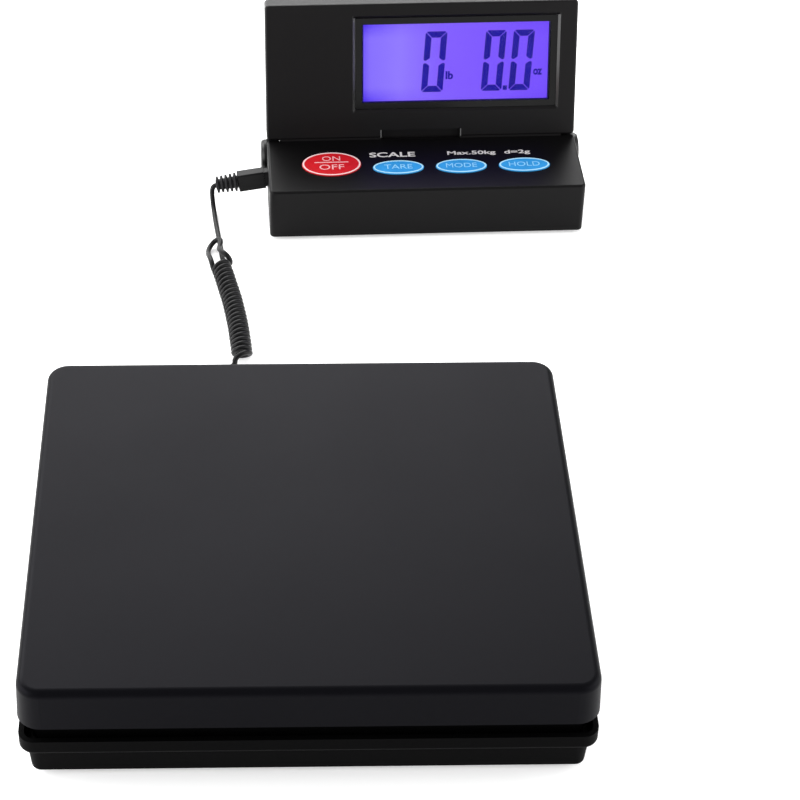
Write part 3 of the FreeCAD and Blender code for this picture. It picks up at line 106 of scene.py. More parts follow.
camera_data = bpy.data.cameras.new("camera")
camera_data.sensor_width = 36.0
camera_data.lens = 104.86
camera_data.shift_x = 0.1375
camera = bpy.data.objects.new("camera", camera_data)
camera.location = (-0.03882, -0.93728, 0.77857)
camera.rotation_euler = (math.radians(90 - 39.357), 0, math.radians(-0.792))
scene.collection.objects.link(camera)
scene.camera = camera
scene.view_settings.view_transform = "Standard"


# --- Cord -----------------------------------------------------------------------------------
# Route points are in millimetres from the middle of the platform, on the floor.

CORD_RADIUS = 1.45
TAIL_ROUTE = [
    (-40.0, 118.0, 13.0), (-40.0, 129.0, 13.0), (-41.4, 140.0, 8.2), (-43.8, 151.0, 2.8),
    (-44.6, 160.0, 1.6), (-43.2, 168.0, 1.6), (-39.4, 174.4, 1.6), (-35.5, 177.4, 2.9),
]
COIL_ROUTE = [
    (-29.7, 183.0, 6.1), (-31.0, 200.0, 6.1), (-33.6, 222.0, 6.1), (-37.8, 246.0, 6.1),
    (-42.2, 265.5, 6.1),
]
# The last turn is pulled loose, and the lead runs on from it. Its points are in millimetres from
# the far end of the coil's axis.
LOOSE_TURN = [
    (-4.9, 1.6, 1.0), (-5.8, 5.6, 1.0), (-6.6, 10.2, -0.8), (-7.1, 14.6, -2.8),
    (-7.2, 18.6, -4.0), (-6.7, 22.4, -4.3), (-5.0, 25.6, -3.4), (-2.4, 26.6, -1.4),
    (-0.3, 24.6, 0.4), (0.1, 20.8, 1.0), (-0.5, 16.4, 1.2), (-0.9, 12.4, 2.3), (0.2, 8.1, 4.2),
    (2.2, 4.7, 4.9), (4.6, 3.1, 3.4), (5.8, 3.2, -0.3), (5.0, 5.4, -3.4), (3.0, 8.8, -4.4),
]
LEAD_ROUTE = [
    (-41.3, 277.0, 1.6), (-42.2, 288.0, 1.6), (-44.0, 302.0, 1.6), (-45.3, 313.0, 1.6),
    (-46.2, 321.8, 1.9), (-46.9, 327.6, 3.5), (-47.4, 331.2, 6.0), (-47.6, 333.3, 8.9),
    (-47.37, 334.41, 11.62), (-45.99, 334.72, 13.38), (-42.22, 334.82, 13.98),
]
COIL_TURNS = 23
POINTS_PER_TURN = 14
TURN_RADIUS = 4.45
START_ANGLE = -16
# The tail comes into the first half turn from this far in front of it.
ENTRY_TURNS = 0.5
ENTRY = 6.0
# Degrees that a turn's top leans to the front: LEAN all along, and FRONT_LEAN more at the front
# end, which fades over LEAN_TURNS while the turns come to lean sideways by SIDE_LEAN.
LEAN = 6
FRONT_LEAN = 34
LEAN_TURNS = 6
SIDE_LEAN = 13
# How much wider apart the turns are at the far end, and how uneven their radius is there.
OPENING = 0.1
UNEVENNESS = 0.02
WAVES_PER_TURN = 5.3


def on_floor(points):
    return [platform_middle + Vector(p) * MM for p in points]


def smooth_curve(name, points, radius=0.0):
    """A smooth open curve steered by points, in metres; a tube if radius is over 0."""
    curve = bpy.data.curves.new(name, "CURVE")
    curve.dimensions = "3D"
    spline = curve.splines.new("NURBS")
    spline.points.add(len(points) - 1)
    for point, place in zip(spline.points, points):
        point.co = (*place, 1.0)
    spline.order_u = 3
    spline.use_endpoint_u = True
    spline.resolution_u = 4
    curve.bevel_depth = radius
    curve.bevel_resolution = 4
    curve.use_fill_caps = radius > 0
    thing = bpy.data.objects.new(name, curve)
    scene.collection.objects.link(thing)
    return thing


def as_mesh(thing):
    """The evaluated mesh of a curve or text object, which is then removed."""
    bpy.context.view_layer.update()
    mesh = bpy.data.meshes.new_from_object(thing.evaluated_get(
        bpy.context.evaluated_depsgraph_get()))
    data = thing.data
    bpy.data.objects.remove(thing)
    bpy.data.curves.remove(data)
    return mesh


def line_through(points):
    mesh = as_mesh(smooth_curve("line", points))
    line = [v.co.copy() for v in mesh.vertices]
    bpy.data.meshes.remove(mesh)
    return line


def length_of(line):
    return sum((b - a).length for a, b in zip(line, line[1:]))


def walk(line, share):
    """The point at a share of a line's length, and the direction there."""
    left = share * length_of(line)
    for a, b in zip(line, line[1:]):
        length = (b - a).length
        if left <= length or b is line[-1]:
            return a.lerp(b, left / length), (b - a).normalized()
        left -= length


coil_line = line_through(on_floor(COIL_ROUTE))


def coil_points():
    """The turns, wound along the coil's line. They lie closer near the platform, where the end
    of the coil leans forward, and the other turns are further away on their right."""
    steps = COIL_TURNS * POINTS_PER_TURN
    points = []
    for k in range(steps + 1):
        along = k / steps
        middle, direction = walk(coil_line, along - OPENING * along + OPENING * along ** 2)
        up = Vector((0, 0, 1))
        left = up.cross(direction)
        angle = math.radians(START_ANGLE) + along * COIL_TURNS * math.tau
        entry = max(0.0, 1 - k / (ENTRY_TURNS * POINTS_PER_TURN))
        front = max(0.0, 1 - k / (LEAN_TURNS * POINTS_PER_TURN))
        lean = math.tan(math.radians(LEAN + FRONT_LEAN * front))
        aside = math.tan(math.radians(SIDE_LEAN * (1 - front)))
        uneven = 1 + UNEVENNESS * math.sin(WAVES_PER_TURN * angle / math.tau) * along
        reach = TURN_RADIUS * uneven * MM
        forward = (lean * math.sin(angle) + aside * math.cos(angle)) * reach
        forward += ENTRY * MM * entry ** 2
        points.append(middle + (left * math.cos(angle) + up * math.sin(angle)) * reach
                      - direction * forward)
    return points


def loose_turn():
    return [coil_line[-1] + Vector(p) * MM for p in LOOSE_TURN]


coil = coil_points()
before_coil = on_floor(TAIL_ROUTE)
after_coil = loose_turn() + on_floor(LEAD_ROUTE)
cord_points = before_coil + coil + after_coil
cord_line = line_through(cord_points)
cord = bpy.data.objects.new("coiled_cord", as_mesh(
    smooth_curve("cord_curve", cord_points, CORD_RADIUS * MM)))
scene.collection.objects.link(cord)

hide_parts("cord_tail", "cord_coil", "cord_lead")
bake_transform(cord, "base", "display", start=cord_points[0], end=cord_points[-1])


def stretch_only_the_coil():
    """Gives each ring of the tube one weight, so that the coil opens and its ends don't bend."""
    first = len(before_coil) / len(cord_points)
    last = 1 - len(after_coil) / len(cord_points)
    rings = len(cord_line)
    sides = len(cord.data.vertices) // rings
    weights = cord.data.attributes["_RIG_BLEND"].data
    for k, weight in enumerate(weights):
        share = (k // sides) / rings
        weight.value = min(1.0, max(0.0, (share - first) / (last - first)))


stretch_only_the_coil()


# --- Materials ------------------------------------------------------------------------------

class Look:
    """A procedural material. Lengths are in millimetres, measured on the piece at rest."""

    def __init__(self, name, **values):
        self.material = bpy.data.materials.new(name)
        self.material.use_nodes = True
        self.tree = self.material.node_tree
        self.shader = self.tree.nodes["Principled BSDF"]
        self.place = self.add("ShaderNodeTexCoord").outputs["Object"]
        self.bump = None
        for socket, value in values.items():
            self.shader.inputs[socket.replace("_", " ")].default_value = value

    def add(self, kind, **inputs):
        node = self.tree.nodes.new(kind)
        for socket, value in inputs.items():
            self.feed(node, socket.replace("_", " "), value)
        return node

    def feed(self, node, socket, value):
        if isinstance(value, bpy.types.NodeSocket):
            self.tree.links.new(value, node.inputs[socket])
        else:
            node.inputs[socket].default_value = value

    def along(self, x=1.0, y=1.0, z=1.0):
        """The place on the piece, drawn out by these factors."""
        return self.add("ShaderNodeMapping", Vector=self.place, Scale=(x, y, z)).outputs["Vector"]

    def noise(self, size, detail=2.0, place=None):
        return self.add("ShaderNodeTexNoise", Vector=place or self.place, Scale=1 / (size * MM),
                        Detail=detail).outputs["Fac"]

    def cells(self, size, output="Distance", place=None):
        return self.add("ShaderNodeTexVoronoi", Vector=place or self.place,
                        Scale=1 / (size * MM)).outputs[output]

    def lines(self, size, place=None, rings=False):
        wave = self.add("ShaderNodeTexWave", Vector=place or self.place, Scale=1 / (size * MM),
                        Distortion=0.6, Detail=1.0)
        wave.wave_type = "RINGS" if rings else "BANDS"
        return wave.outputs["Fac"]

    def ramp(self, factor, *stops):
        """Colours at places from 0 to 1 along a factor."""
        node = self.add("ShaderNodeValToRGB", Fac=factor)
        elements = node.color_ramp.elements
        while len(elements) < len(stops):
            elements.new(0.5)
        for element, (place, colour) in zip(elements, stops):
            element.position = place
            element.color = (*colour, 1.0)
        return node.outputs["Color"]

    def spread(self, factor, low, high, start=0.3, end=0.7):
        return self.add("ShaderNodeMapRange", Value=factor, From_Min=start, From_Max=end,
                        To_Min=low, To_Max=high).outputs["Result"]

    def set(self, socket, source):
        self.feed(self.shader, socket, source)

    def relief(self, height, depth):
        """Raises the surface by depth where height is 1. Later calls add to earlier ones."""
        node = self.add("ShaderNodeBump", Height=height, Distance=depth * MM)
        if self.bump:
            self.feed(node, "Normal", self.bump)
        self.bump = node.outputs["Normal"]
        self.set("Normal", self.bump)

    def tint(self, factor, low, high):
        self.set("Base Color", self.ramp(factor, (0.3, low), (0.7, high)))


def shade(colour, factor):
    return tuple(c * factor for c in colour)


def moulded_plastic(name, colour, gloss, grain, depth, specular):
    """Moulded plastic: a fine even grain, slow changes of gloss, and a little dust."""
    look = Look(name, Specular_IOR_Level=specular)
    cloud = look.noise(90.0, 2.0)
    dust = look.noise(1.3, 6.0)
    look.tint(look.noise(2.2, 5.0), shade(colour, 0.92), shade(colour, 1.08))
    gloss_map = look.add("ShaderNodeMath", Value=look.spread(cloud, gloss - 0.02, gloss + 0.02))
    gloss_map.operation = "ADD"
    look.feed(gloss_map, 1, look.spread(dust, 0.0, 0.05, 0.5, 0.75))
    look.set("Roughness", gloss_map.outputs["Value"])
    look.relief(look.noise(grain, 3.0), depth)
    look.relief(look.noise(70.0, 1.0), 0.012)
    return look


def rubber(name, colour):
    look = Look(name, Specular_IOR_Level=0.3)
    look.tint(look.noise(2.4, 5.0), shade(colour, 0.8), shade(colour, 1.35))
    look.set("Roughness", look.spread(look.noise(6.0, 4.0), 0.62, 0.82))
    look.relief(look.noise(0.45, 3.0), 0.03)
    return look


def jacket(name, colour):
    """Extruded cord jacket: satin, with faint draw marks and a little bloom."""
    look = Look(name, Specular_IOR_Level=0.17)
    look.tint(look.noise(7.0, 4.0), shade(colour, 0.75), shade(colour, 1.3))
    look.set("Roughness", look.spread(look.noise(3.5, 3.0), 0.34, 0.5))
    look.relief(look.noise(0.5, 2.0), 0.012)
    return look


def plated_steel(name, colour, roughness):
    """Zinc plate: soft spangle and rolling marks."""
    look = Look(name, Metallic=1.0)
    look.tint(look.cells(5.0, "Color"), shade(colour, 0.85), colour)
    look.set("Roughness", look.spread(look.noise(2.6, 4.0), roughness, roughness + 0.16))
    look.relief(look.noise(0.7, 3.0, look.along(x=0.08)), 0.006)
    return look


def turned_steel(name, colour):
    look = Look(name, Metallic=1.0)
    look.tint(look.noise(1.2, 4.0), shade(colour, 0.7), colour)
    look.set("Roughness", look.spread(look.noise(0.6, 3.0), 0.2, 0.42))
    look.relief(look.lines(0.22, look.along(z=3.0)), 0.008)
    return look


def milled_aluminium(name):
    look = Look(name, Metallic=1.0)
    look.tint(look.noise(9.0, 3.0), (0.66, 0.67, 0.69), (0.8, 0.8, 0.82))
    look.set("Roughness", look.spread(look.noise(0.8, 3.0, look.along(y=0.06)), 0.24, 0.4))
    look.relief(look.lines(0.6, rings=True), 0.006)
    return look


def sealant(name):
    look = Look(name, Subsurface_Weight=0.2, Roughness=0.42)
    look.shader.inputs["Subsurface Radius"].default_value = (0.004, 0.003, 0.002)
    look.tint(look.noise(6.0, 5.0), (0.66, 0.64, 0.58), (0.84, 0.83, 0.78))
    look.relief(look.noise(4.0, 2.0), 0.5)
    return look


def silicone(name):
    look = Look(name, Roughness=0.55, Subsurface_Weight=0.15)
    look.shader.inputs["Subsurface Radius"].default_value = (0.003, 0.003, 0.003)
    look.tint(look.noise(8.0, 3.0), (0.52, 0.52, 0.51), (0.66, 0.66, 0.65))
    look.relief(look.noise(0.9, 3.0), 0.02)
    return look


def nylon(name, colour):
    look = Look(name, Roughness=0.45)
    look.tint(look.noise(5.0, 4.0), shade(colour, 0.88), colour)
    look.relief(look.noise(0.8, 3.0), 0.015)
    return look


def circuit_board(name):
    """Green solder mask over copper tracks, with pads."""
    look = Look(name, Specular_IOR_Level=0.5)
    tracks = look.cells(3.4, "Distance")
    look.set("Base Color", look.ramp(tracks, (0.0, (0.55, 0.5, 0.3)), (0.13, (0.5, 0.46, 0.28)),
                                     (0.15, (0.012, 0.11, 0.045)), (0.5, (0.02, 0.17, 0.07)),
                                     (0.56, (0.008, 0.07, 0.03))))
    look.set("Roughness", look.spread(look.noise(9.0, 3.0), 0.25, 0.4))
    look.relief(tracks, 0.04)
    return look


def printed_key(name, colour):
    """A printed film over a moulded key: even colour, satin, softly uneven."""
    look = Look(name, Specular_IOR_Level=0.28)
    look.tint(look.noise(5.0, 4.0), shade(colour, 0.92), shade(colour, 1.08))
    look.set("Roughness", look.spread(look.noise(3.0, 4.0), 0.42, 0.58))
    look.relief(look.noise(0.35, 3.0), 0.01)
    return look


def ink(name, colour):
    """Screen-printed ink, a little thin at its edges."""
    look = Look(name, Specular_IOR_Level=0.25, Roughness=0.5)
    look.tint(look.noise(0.5, 4.0), shade(colour, 0.86), colour)
    look.relief(look.noise(0.3, 2.0), 0.008)
    return look


def clear_window(name):
    look = Look(name, Alpha=0.1, Specular_IOR_Level=0.3)
    look.tint(look.noise(20.0, 3.0), (0.02, 0.02, 0.03), (0.035, 0.035, 0.05))
    look.set("Roughness", look.spread(look.noise(12.0, 5.0), 0.04, 0.11))
    look.relief(look.noise(30.0, 1.0), 0.01)
    return look


# The lit part of the screen is behind the middle of the window.
screen_middle = panel_frame.inverted() @ middle_of("lcd_window")
screen_middle.y = 0.0
SCREEN_WIDTH = 108.4
SCREEN_HEIGHT = 46.6


def backlit(name):
    """Light from diodes at the left edge: palest left of the middle, deepest in two corners."""
    look = Look(name, Specular_IOR_Level=0.2, Roughness=0.4)
    local = look.add("ShaderNodeMapping", Vector=look.place, Rotation=panel_frame.to_euler(),
                     Location=panel_frame @ screen_middle)
    local.vector_type = "TEXTURE"
    axes = look.add("ShaderNodeSeparateXYZ", Vector=local.outputs["Vector"]).outputs
    half_width, half_height = SCREEN_WIDTH / 2 * MM, SCREEN_HEIGHT / 2 * MM
    across = look.spread(axes["X"], 0.0, 1.0, -half_width, half_width)
    height = look.add("ShaderNodeMath", Value=axes["Z"])
    height.operation = "ABSOLUTE"
    edge_start = 0.62 * half_height
    edge = look.spread(height.outputs["Value"], 0.0, 1.0, edge_start, half_height)
    along_middle = look.ramp(across, (0.0, (0.15, 0.08, 0.98)), (0.04, (0.235, 0.155, 1.0)),
                             (0.2, (0.28, 0.19, 1.0)), (0.42, (0.215, 0.1, 1.0)),
                             (1.0, (0.17, 0.066, 1.0)))
    along_edge = look.ramp(across, (0.0, (0.035, 0.0, 0.82)), (0.06, (0.11, 0.05, 0.96)),
                           (0.2, (0.225, 0.13, 1.0)), (0.6, (0.205, 0.095, 1.0)),
                           (1.0, (0.15, 0.055, 0.97)))
    # Inputs 6 and 7 are this node's two colours, and output 2 is their mix.
    mix = look.add("ShaderNodeMix")
    mix.data_type = "RGBA"
    look.tree.links.new(edge, mix.inputs["Factor"])
    look.tree.links.new(along_middle, mix.inputs[6])
    look.tree.links.new(along_edge, mix.inputs[7])
    look.set("Base Color", look.ramp(across, (0.0, (0.02, 0.01, 0.08)), (1.0, (0.02, 0.01, 0.07))))
    look.set("Emission Color", mix.outputs[2])
    look.shader.inputs["Emission Strength"].default_value = 1.12
    return look


def screen_ink(name, colour):
    """The liquid crystal where it is switched on, with a trace of light through it."""
    look = Look(name, Specular_IOR_Level=0.1, Roughness=0.5)
    look.tint(look.noise(4.0, 2.0), (0.004, 0.002, 0.02), (0.006, 0.003, 0.03))
    look.set("Emission Color", look.ramp(look.noise(14.0, 3.0), (0.3, shade(colour, 0.8)),
                                         (0.7, shade(colour, 1.15))))
    look.shader.inputs["Emission Strength"].default_value = 1.0
    return look


def battery_wrap(name):
    """A plain printed sleeve: dark, with a grey-green band at one end."""
    look = Look(name, Metallic=0.6)
    low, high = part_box("batteries")
    along = look.add("ShaderNodeSeparateXYZ", Vector=look.place).outputs["X"]
    share = look.spread(along, 0.0, 1.0, low.x, high.x)
    look.set("Base Color", look.ramp(share, (0.0, (0.6, 0.6, 0.6)), (0.04, (0.02, 0.02, 0.022)),
                                     (0.68, (0.022, 0.022, 0.024)), (0.7, (0.10, 0.22, 0.16)),
                                     (0.96, (0.09, 0.20, 0.15)), (0.97, (0.7, 0.7, 0.7))))
    look.set("Roughness", look.spread(look.noise(3.0, 4.0), 0.28, 0.42))
    look.relief(look.noise(1.2, 3.0), 0.01)
    return look


def wire_colours(name):
    """Four thin wires, each its own colour."""
    look = Look(name)
    island = look.add("ShaderNodeNewGeometry").outputs["Random Per Island"]
    colours = look.ramp(island, (0.0, (0.5, 0.02, 0.02)), (0.27, (0.02, 0.02, 0.022)),
                        (0.5, (0.75, 0.75, 0.72)), (0.75, (0.03, 0.25, 0.07)))
    look.set("Base Color", colours)
    look.set("Roughness", look.spread(look.noise(1.5, 3.0), 0.3, 0.45))
    look.relief(look.noise(0.4, 2.0), 0.01)
    return look


# The cover's colour leans blue, and its reflections are tinted blue below: a painted blue reflection.
COVER = (0.0014, 0.0014, 0.0019)
COVER_BLUE_PAINTED_REFLECTION = (0.84, 0.82, 1.0, 1.0)
HOUSING = (0.0012, 0.0012, 0.0013)
CONSOLE = (0.0018, 0.0016, 0.0018)
# PANEL is a lighter copy of the console's black. It is lighter to make up for the dark front that the
# panel's face reflects, so it is painted light.
PANEL = (0.0030, 0.0025, 0.0028)
looks = {
    "cover_plastic": moulded_plastic("satin_black_cover", COVER, 0.42, 0.9, 0.006, 0.058),
    "housing_plastic": moulded_plastic("matte_black_housing", HOUSING, 0.5, 0.7, 0.010, 0.024),
    "pressed_steel": plated_steel("zinc_plated_steel", (0.6, 0.61, 0.63), 0.3),
    "spacer_steel": plated_steel("plain_steel", (0.46, 0.46, 0.47), 0.36),
    "cell_aluminium": milled_aluminium("milled_aluminium"),
    "screw_steel": turned_steel("screw_steel", (0.5, 0.5, 0.5)),
    "sealant": sealant("white_sealant"),
    "foot_rubber": rubber("foot_rubber", (0.012, 0.012, 0.012)),
    "gland_plastic": rubber("gland_rubber", (0.010, 0.010, 0.011)),
    "cord_jacket": jacket("cord_jacket", (0.0030, 0.0030, 0.0034)),
    "clip_plastic": nylon("white_nylon", (0.7, 0.7, 0.67)),
    "plug_plastic": moulded_plastic("plug_black", (0.0028, 0.0028, 0.003), 0.4, 0.5, 0.008, 0.13),
    "socket_plastic": moulded_plastic("socket_black", (0.006, 0.006, 0.006), 0.25, 0.5, 0.004, 0.4),
    "console_plastic": moulded_plastic("console_black", CONSOLE, 0.42, 0.55, 0.012, 0.12),
    "panel_plastic": moulded_plastic("panel_black", PANEL, 0.42, 0.55, 0.012, 0.17),
    "cap_plastic": moulded_plastic("cap_black", CONSOLE, 0.36, 0.5, 0.008, 0.3),
    "pin_plastic": moulded_plastic("pin_black", (0.012, 0.012, 0.012), 0.4, 0.4, 0.006, 0.3),
    "window_clear": clear_window("clear_window"),
    "lcd_layer": backlit("lit_screen"),
    "backlight_violet": backlit("violet_backlight"),
    "board_green": circuit_board("green_board"),
    "mat_silicone": silicone("grey_silicone"),
    "key_red": printed_key("red_key", (0.50, 0.004, 0.010)),
    "key_blue": printed_key("blue_key", (0.022, 0.27, 0.62)),
    "battery_can": battery_wrap("battery_sleeve"),
    "contact_spring": turned_steel("nickel_spring", (0.66, 0.64, 0.6)),
    "wire_jacket": wire_colours("wire_colours"),
}
# Tints the cover's reflections blue: a painted blue reflection.
looks["cover_plastic"].shader.inputs["Specular Tint"].default_value = COVER_BLUE_PAINTED_REFLECTION
slot_of = {part["node"]: part["material_slot"] for part in frame["record"]["subparts"]}
for name, node in nodes.items():
    node.data.materials.clear()
    node.data.materials.append(looks[slot_of[name]].material)
cord.data.materials.append(looks["cord_jacket"].material)

pale_ink = ink("pale_ink", (0.62, 0.6, 0.58))
red_key_ink = ink("red_key_ink", (0.8, 0.42, 0.44))
blue_key_ink = ink("blue_key_ink", (0.28, 0.62, 0.88))
red_rim_ink = ink("red_rim_ink", (0.82, 0.6, 0.6))
blue_rim_ink = ink("blue_rim_ink", (0.42, 0.74, 0.9))
digit_ink = screen_ink("digit_ink", (0.004, 0.0, 0.36))
border_ink = screen_ink("screen_border", (0.006, 0.002, 0.14))
edge_gloss = moulded_plastic("polished_edge", (0.004, 0.004, 0.004), 0.2, 1.5, 0.002, 0.7)
# Grey ink that paints highlights on the corners of the hinge notch.
grey_painted_highlight = ink("grey_painted_highlight", (0.11, 0.11, 0.11))
mask = moulded_plastic("gloss_black_mask", (0.003, 0.003, 0.003), 0.12, 3.0, 0.001, 0.3)


# --- Printed and lit marks ------------------------------------------------------------------

def add_piece(name, mesh, look, body, place):
    """A piece made in some frame's millimetres, put into the shared frame."""
    mesh.transform(place @ Matrix.Scale(MM, 4))
    mesh.name = name
    piece = bpy.data.objects.new(name, mesh)
    piece.data.materials.clear()
    piece.data.materials.append(look.material)
    scene.collection.objects.link(piece)
    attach(piece, body)
    return piece


def skin(rings, closed=False):
    """A mesh through rings that have as many points each. Its two ends are capped, or joined to
    each other if it is closed."""
    mesh = bmesh.new()
    loops = [[mesh.verts.new(place) for place in ring] for ring in rings]
    if closed:
        loops.append(loops[0])
    else:
        mesh.faces.new(loops[0])
        mesh.faces.new(reversed(loops[-1]))
    for one, other in zip(loops, loops[1:]):
        for k in range(len(one)):
            j = (k + 1) % len(one)
            mesh.faces.new((one[k], one[j], other[j], other[k]))
    bmesh.ops.recalc_face_normals(mesh, faces=mesh.faces)
    made = bpy.data.meshes.new("skin")
    mesh.to_mesh(made)
    mesh.free()
    return made


def at_height(outline, z):
    return [(x, y, z) for x, y in outline]


def raised(outline, height, hole=None):
    """A thin plate with this outline, and a hole of as many points, on z = 0."""
    top, low = at_height(outline, height), at_height(outline, 0)
    if hole:
        return skin([top, at_height(hole, height), at_height(hole, 0), low], closed=True)
    return skin([top, low])


def joined(meshes):
    mesh = bmesh.new()
    for part in meshes:
        mesh.from_mesh(part)
        bpy.data.meshes.remove(part)
    made = bpy.data.meshes.new("joined")
    mesh.to_mesh(made)
    mesh.free()
    return made


def lettering(text, width, height, x, y, thick, weight=0.0):
    """Plain sans-serif lettering, its middle at x, y and its face at z = thick. Weight is how
    far its strokes are widened, as a share of the font's size."""
    font = bpy.data.curves.new("lettering", "FONT")
    font.body = text
    font.extrude = 0.5  # any depth, because it is scaled to thick below
    font.offset = weight
    font.resolution_u = 6
    words = bpy.data.objects.new("lettering", font)
    scene.collection.objects.link(words)
    mesh = as_mesh(words)
    low = [min(v.co[k] for v in mesh.vertices) for k in range(3)]
    high = [max(v.co[k] for v in mesh.vertices) for k in range(3)]
    middle = Vector([(a + b) / 2 for a, b in zip(low, high)])
    scale = Matrix.Diagonal((width / (high[0] - low[0]), height / (high[1] - low[1]),
                             thick / (high[2] - low[2]), 1))
    mesh.transform(Matrix.Translation((x, y, thick / 2)) @ scale @ Matrix.Translation(-middle))
    return mesh


def oval(half_width, half_depth, count=96):
    return [(half_width * math.cos(math.tau * k / count), half_depth * math.sin(math.tau * k / count))
            for k in range(count)]


# How thick the ink is, and how deep it is sunk in so that it has no gap under it.
INK = 0.09
SUNK = 0.02
RIM = 0.95
KEY_EDGE = 0.3


def key_marks(name, body, half_width, half_depth, rim, letters, words):
    """A key's printed rim and its words, on top of its cap."""
    middle = middle_of(name)
    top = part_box(name)[1].z - SUNK * MM
    place = Matrix.Translation((middle.x, middle.y, top)) @ turn
    outer = oval(half_width - KEY_EDGE, half_depth - KEY_EDGE)
    inner = oval(half_width - KEY_EDGE - RIM, half_depth - KEY_EDGE - RIM)
    add_piece(name + "_rim", raised(outer, INK, inner), rim, body, place)
    add_piece(name + "_letters", joined(words), letters, body, place)


def bar(x, y, width, height, thick):
    mesh = raised([(-width / 2, -height / 2), (width / 2, -height / 2),
                   (width / 2, height / 2), (-width / 2, height / 2)], thick)
    mesh.transform(Matrix.Translation((x, y, 0)))
    return mesh


key_marks("on_off_key", "on_off", 17.0, 12.0, red_rim_ink, red_key_ink,
          [lettering("ON", 10.5, 4.5, 0.0, 5.4, INK), bar(0.0, 1.6, 19.6, 0.8, INK),
           lettering("OFF", 14.2, 5.0, 0.0, -3.3, INK)])
for key, word, width in (("tare", "TARE", 16.2), ("mode", "MODE", 17.8), ("hold", "HOLD", 17.8)):
    key_marks(key + "_key", key, 14.7, 7.0, blue_rim_ink, blue_key_ink,
              [lettering(word, width, 4.4, 0.0, 0.4, INK)])

console_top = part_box("console_top_case")[1].z / MM
WORDS_Y = 36.2
WORDS_WEIGHT = 0.02
on_console = display_frame @ Matrix.Translation(Vector((0, WORDS_Y, console_top - SUNK)) * MM)
console_words = joined([
    lettering("SCALE", 26.5, 4.9, -18.0, 0.0, INK, WORDS_WEIGHT),
    lettering("Max.50kg", 28.0, 4.8, 28.0, -0.2, INK, WORDS_WEIGHT),
    lettering("d=2g", 15.0, 4.8, 54.6, -0.2, INK, WORDS_WEIGHT)])
add_piece("console_words", console_words, pale_ink, "display", on_console)

# Marks on the panel are made in a plane that has x to the right, y up the panel and z out of it.
# Each face is this far in front of the hinge's own plane.
screen_frame = (panel_frame @ Matrix.Translation(screen_middle)
                @ Matrix.Rotation(math.radians(90), 4, "X"))
SCREEN_FACE = 5.1
MASK_FACE = 7.52
PANEL_FACE = 8.9


def on_face(height):
    return screen_frame @ Matrix.Translation((0, 0, height * MM))


LIT_INK = 0.06
UNIT_WEIGHT = 0.04
STROKE = 3.6
GAP = 0.28
BEVEL = 1.0
DIGIT_HEIGHT = 35.7
DIGIT_SLANT = math.tan(math.radians(4.1))


def digit_zero(x, width):
    """The six lit segments of a 0, with mitred ends and a notch where the middle bar is unlit."""
    half = DIGIT_HEIGHT / 2
    wide = width / 2
    bar_top = [(-wide + BEVEL + GAP, half), (wide - BEVEL - GAP, half),
               (wide - BEVEL / 2 - GAP, half - BEVEL / 2),
               (wide - STROKE - GAP, half - STROKE), (-wide + STROKE + GAP, half - STROKE),
               (-wide + BEVEL / 2 + GAP, half - BEVEL / 2)]
    post = [(wide - BEVEL / 2, half - BEVEL / 2 - GAP), (wide, half - BEVEL - GAP),
            (wide, 1.3), (wide - 0.9, 0.7), (wide - 1.7, 0.9), (wide - STROKE, 2.3),
            (wide - STROKE, half - STROKE - GAP)]
    parts = []
    for side in (1, -1):
        parts.append([(a, side * b) for a, b in bar_top])
        parts.append([(a, side * b) for a, b in post])
        parts.append([(-a, side * b) for a, b in post])
    return [raised([(x + a + b * DIGIT_SLANT, b) for a, b in part], LIT_INK) for part in parts]


marks = digit_zero(-12.5, 12.6) + digit_zero(22.1, 12.0) + digit_zero(38.3, 12.2)
marks.append(bar(28.9, -16.2, 2.4, 2.6, LIT_INK))
marks.append(lettering("lb", 4.4, 4.8, -3.6, -8.1, LIT_INK, UNIT_WEIGHT))
marks.append(lettering("oz", 5.2, 3.7, 47.8, -7.1, LIT_INK, UNIT_WEIGHT))
add_piece("screen_digits", joined(marks), digit_ink, "panel",
          on_face(SCREEN_FACE + 0.02))


CORNER_STEPS = 6


def frame_ring(width, height, wall, thick, radius):
    """A flat rounded frame; wall is how wide it is."""
    def corners(half_width, half_height, r):
        path = []
        for quarter in range(4):
            sx = 1 if quarter in (0, 3) else -1
            sy = 1 if quarter in (0, 1) else -1
            for k in range(CORNER_STEPS + 1):
                angle = math.radians(90 * quarter + 90 * k / CORNER_STEPS)
                path.append((sx * (half_width - r) + r * math.cos(angle),
                             sy * (half_height - r) + r * math.sin(angle)))
        return path
    return raised(corners(width / 2, height / 2, radius), thick,
                  corners(width / 2 - wall, height / 2 - wall, radius * 0.6))


add_piece("screen_border", frame_ring(SCREEN_WIDTH + 1.0, SCREEN_HEIGHT + 1.0, 1.1, 0.05, 0.8),
          border_ink, "panel", on_face(SCREEN_FACE + 0.1))
MASK_WIDTH = 116.4
MASK_HEIGHT = 53.4
add_piece("window_mask", frame_ring(MASK_WIDTH, MASK_HEIGHT, 3.6, 0.04, 1.2), mask, "panel",
          on_face(MASK_FACE + 0.01))


def recess_edges():
    """The polished bevels at the left and right of the window's recess, as thin plates."""
    half_width, half_height, bevel, lift = 58.5, 27.0, 1.4, 0.06
    parts = []
    for side in (-1, 1):
        corners = [(half_width, -half_height, PANEL_FACE - bevel),
                   (half_width + bevel, -half_height - bevel, PANEL_FACE),
                   (half_width + bevel, half_height + bevel, PANEL_FACE),
                   (half_width, half_height, PANEL_FACE - bevel)]
        low = [(side * x, y, z) for x, y, z in corners]
        high = [(side * (x - lift), y, z + lift) for x, y, z in corners]
        parts.append(skin([low, high]))
    return joined(parts)


add_piece("recess_edges", recess_edges(), edge_gloss, "panel", screen_frame)
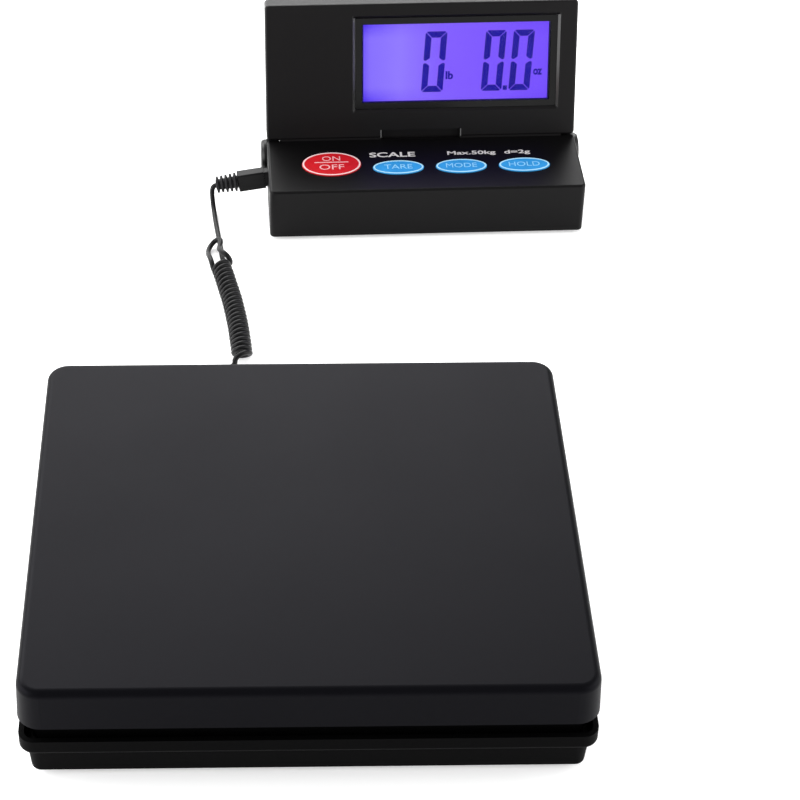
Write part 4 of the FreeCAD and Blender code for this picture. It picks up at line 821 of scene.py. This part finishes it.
# The notch for the hinge, below the window, gets a thin grey strip at each of its two sides: painted
# highlights where its corners catch light.
NOTCH_SIDES = (-43.5, 3.1)
NOTCH_Y = -41.3
notch_painted_highlights = joined([bar(x, NOTCH_Y, 0.6, 4.4, 0.05) for x in NOTCH_SIDES])
add_piece("notch_painted_highlights", notch_painted_highlights, grey_painted_highlight, "panel",
          on_face(PANEL_FACE - 0.01))


# --- Floor and light ------------------------------------------------------------------------

def pale_floor():
    """A floor that glows a little, so that it stays near white."""
    look = Look("pale_floor", Specular_IOR_Level=0.1)
    look.tint(look.noise(260.0, 3.0), (0.94, 0.94, 0.94), (0.96, 0.96, 0.96))
    look.set("Roughness", look.spread(look.noise(90.0, 3.0), 0.7, 0.85))
    look.shader.inputs["Emission Color"].default_value = (1, 1, 1, 1)
    look.shader.inputs["Emission Strength"].default_value = 0.35
    mesh = bpy.data.meshes.new("floor")
    reach = 4.0
    mesh.from_pydata([(-reach, -reach, 0), (reach, -reach, 0), (reach, reach, 0),
                      (-reach, reach, 0)], [], [(0, 1, 2, 3)])
    mesh.materials.append(look.material)
    floor = bpy.data.objects.new("floor", mesh)
    scene.collection.objects.link(floor)


def soft_box(name, place, target, width, height, brightness):
    """An area light that gives off the same brightness all over its face."""
    light = bpy.data.lights.new(name, "AREA")
    light.shape = "RECTANGLE"
    light.size = width
    light.size_y = height
    light.energy = brightness * math.pi * width * height
    lamp = bpy.data.objects.new(name, light)
    lamp.location = place
    lamp.rotation_euler = (Vector(target) - Vector(place)).to_track_quat("-Z", "Y").to_euler()
    scene.collection.objects.link(lamp)


pale_floor()
soft_box("back_light", (-0.42, 1.2, 0.95), (0.0, -0.1, 0.0), 2.1, 0.9, 6.8)
soft_box("left_light", (-1.1, -0.25, 0.45), (0.0, 0.0, 0.05), 1.3, 0.7, 4.5)
soft_box("right_light", (1.1, -0.25, 0.45), (0.0, 0.0, 0.05), 1.3, 0.7, 3.5)
world = bpy.data.worlds.new("studio")
world.use_nodes = True
world.node_tree.nodes["Background"].inputs["Color"].default_value = (1, 1, 1, 1)
world.node_tree.nodes["Background"].inputs["Strength"].default_value = 0.75
scene.world = world
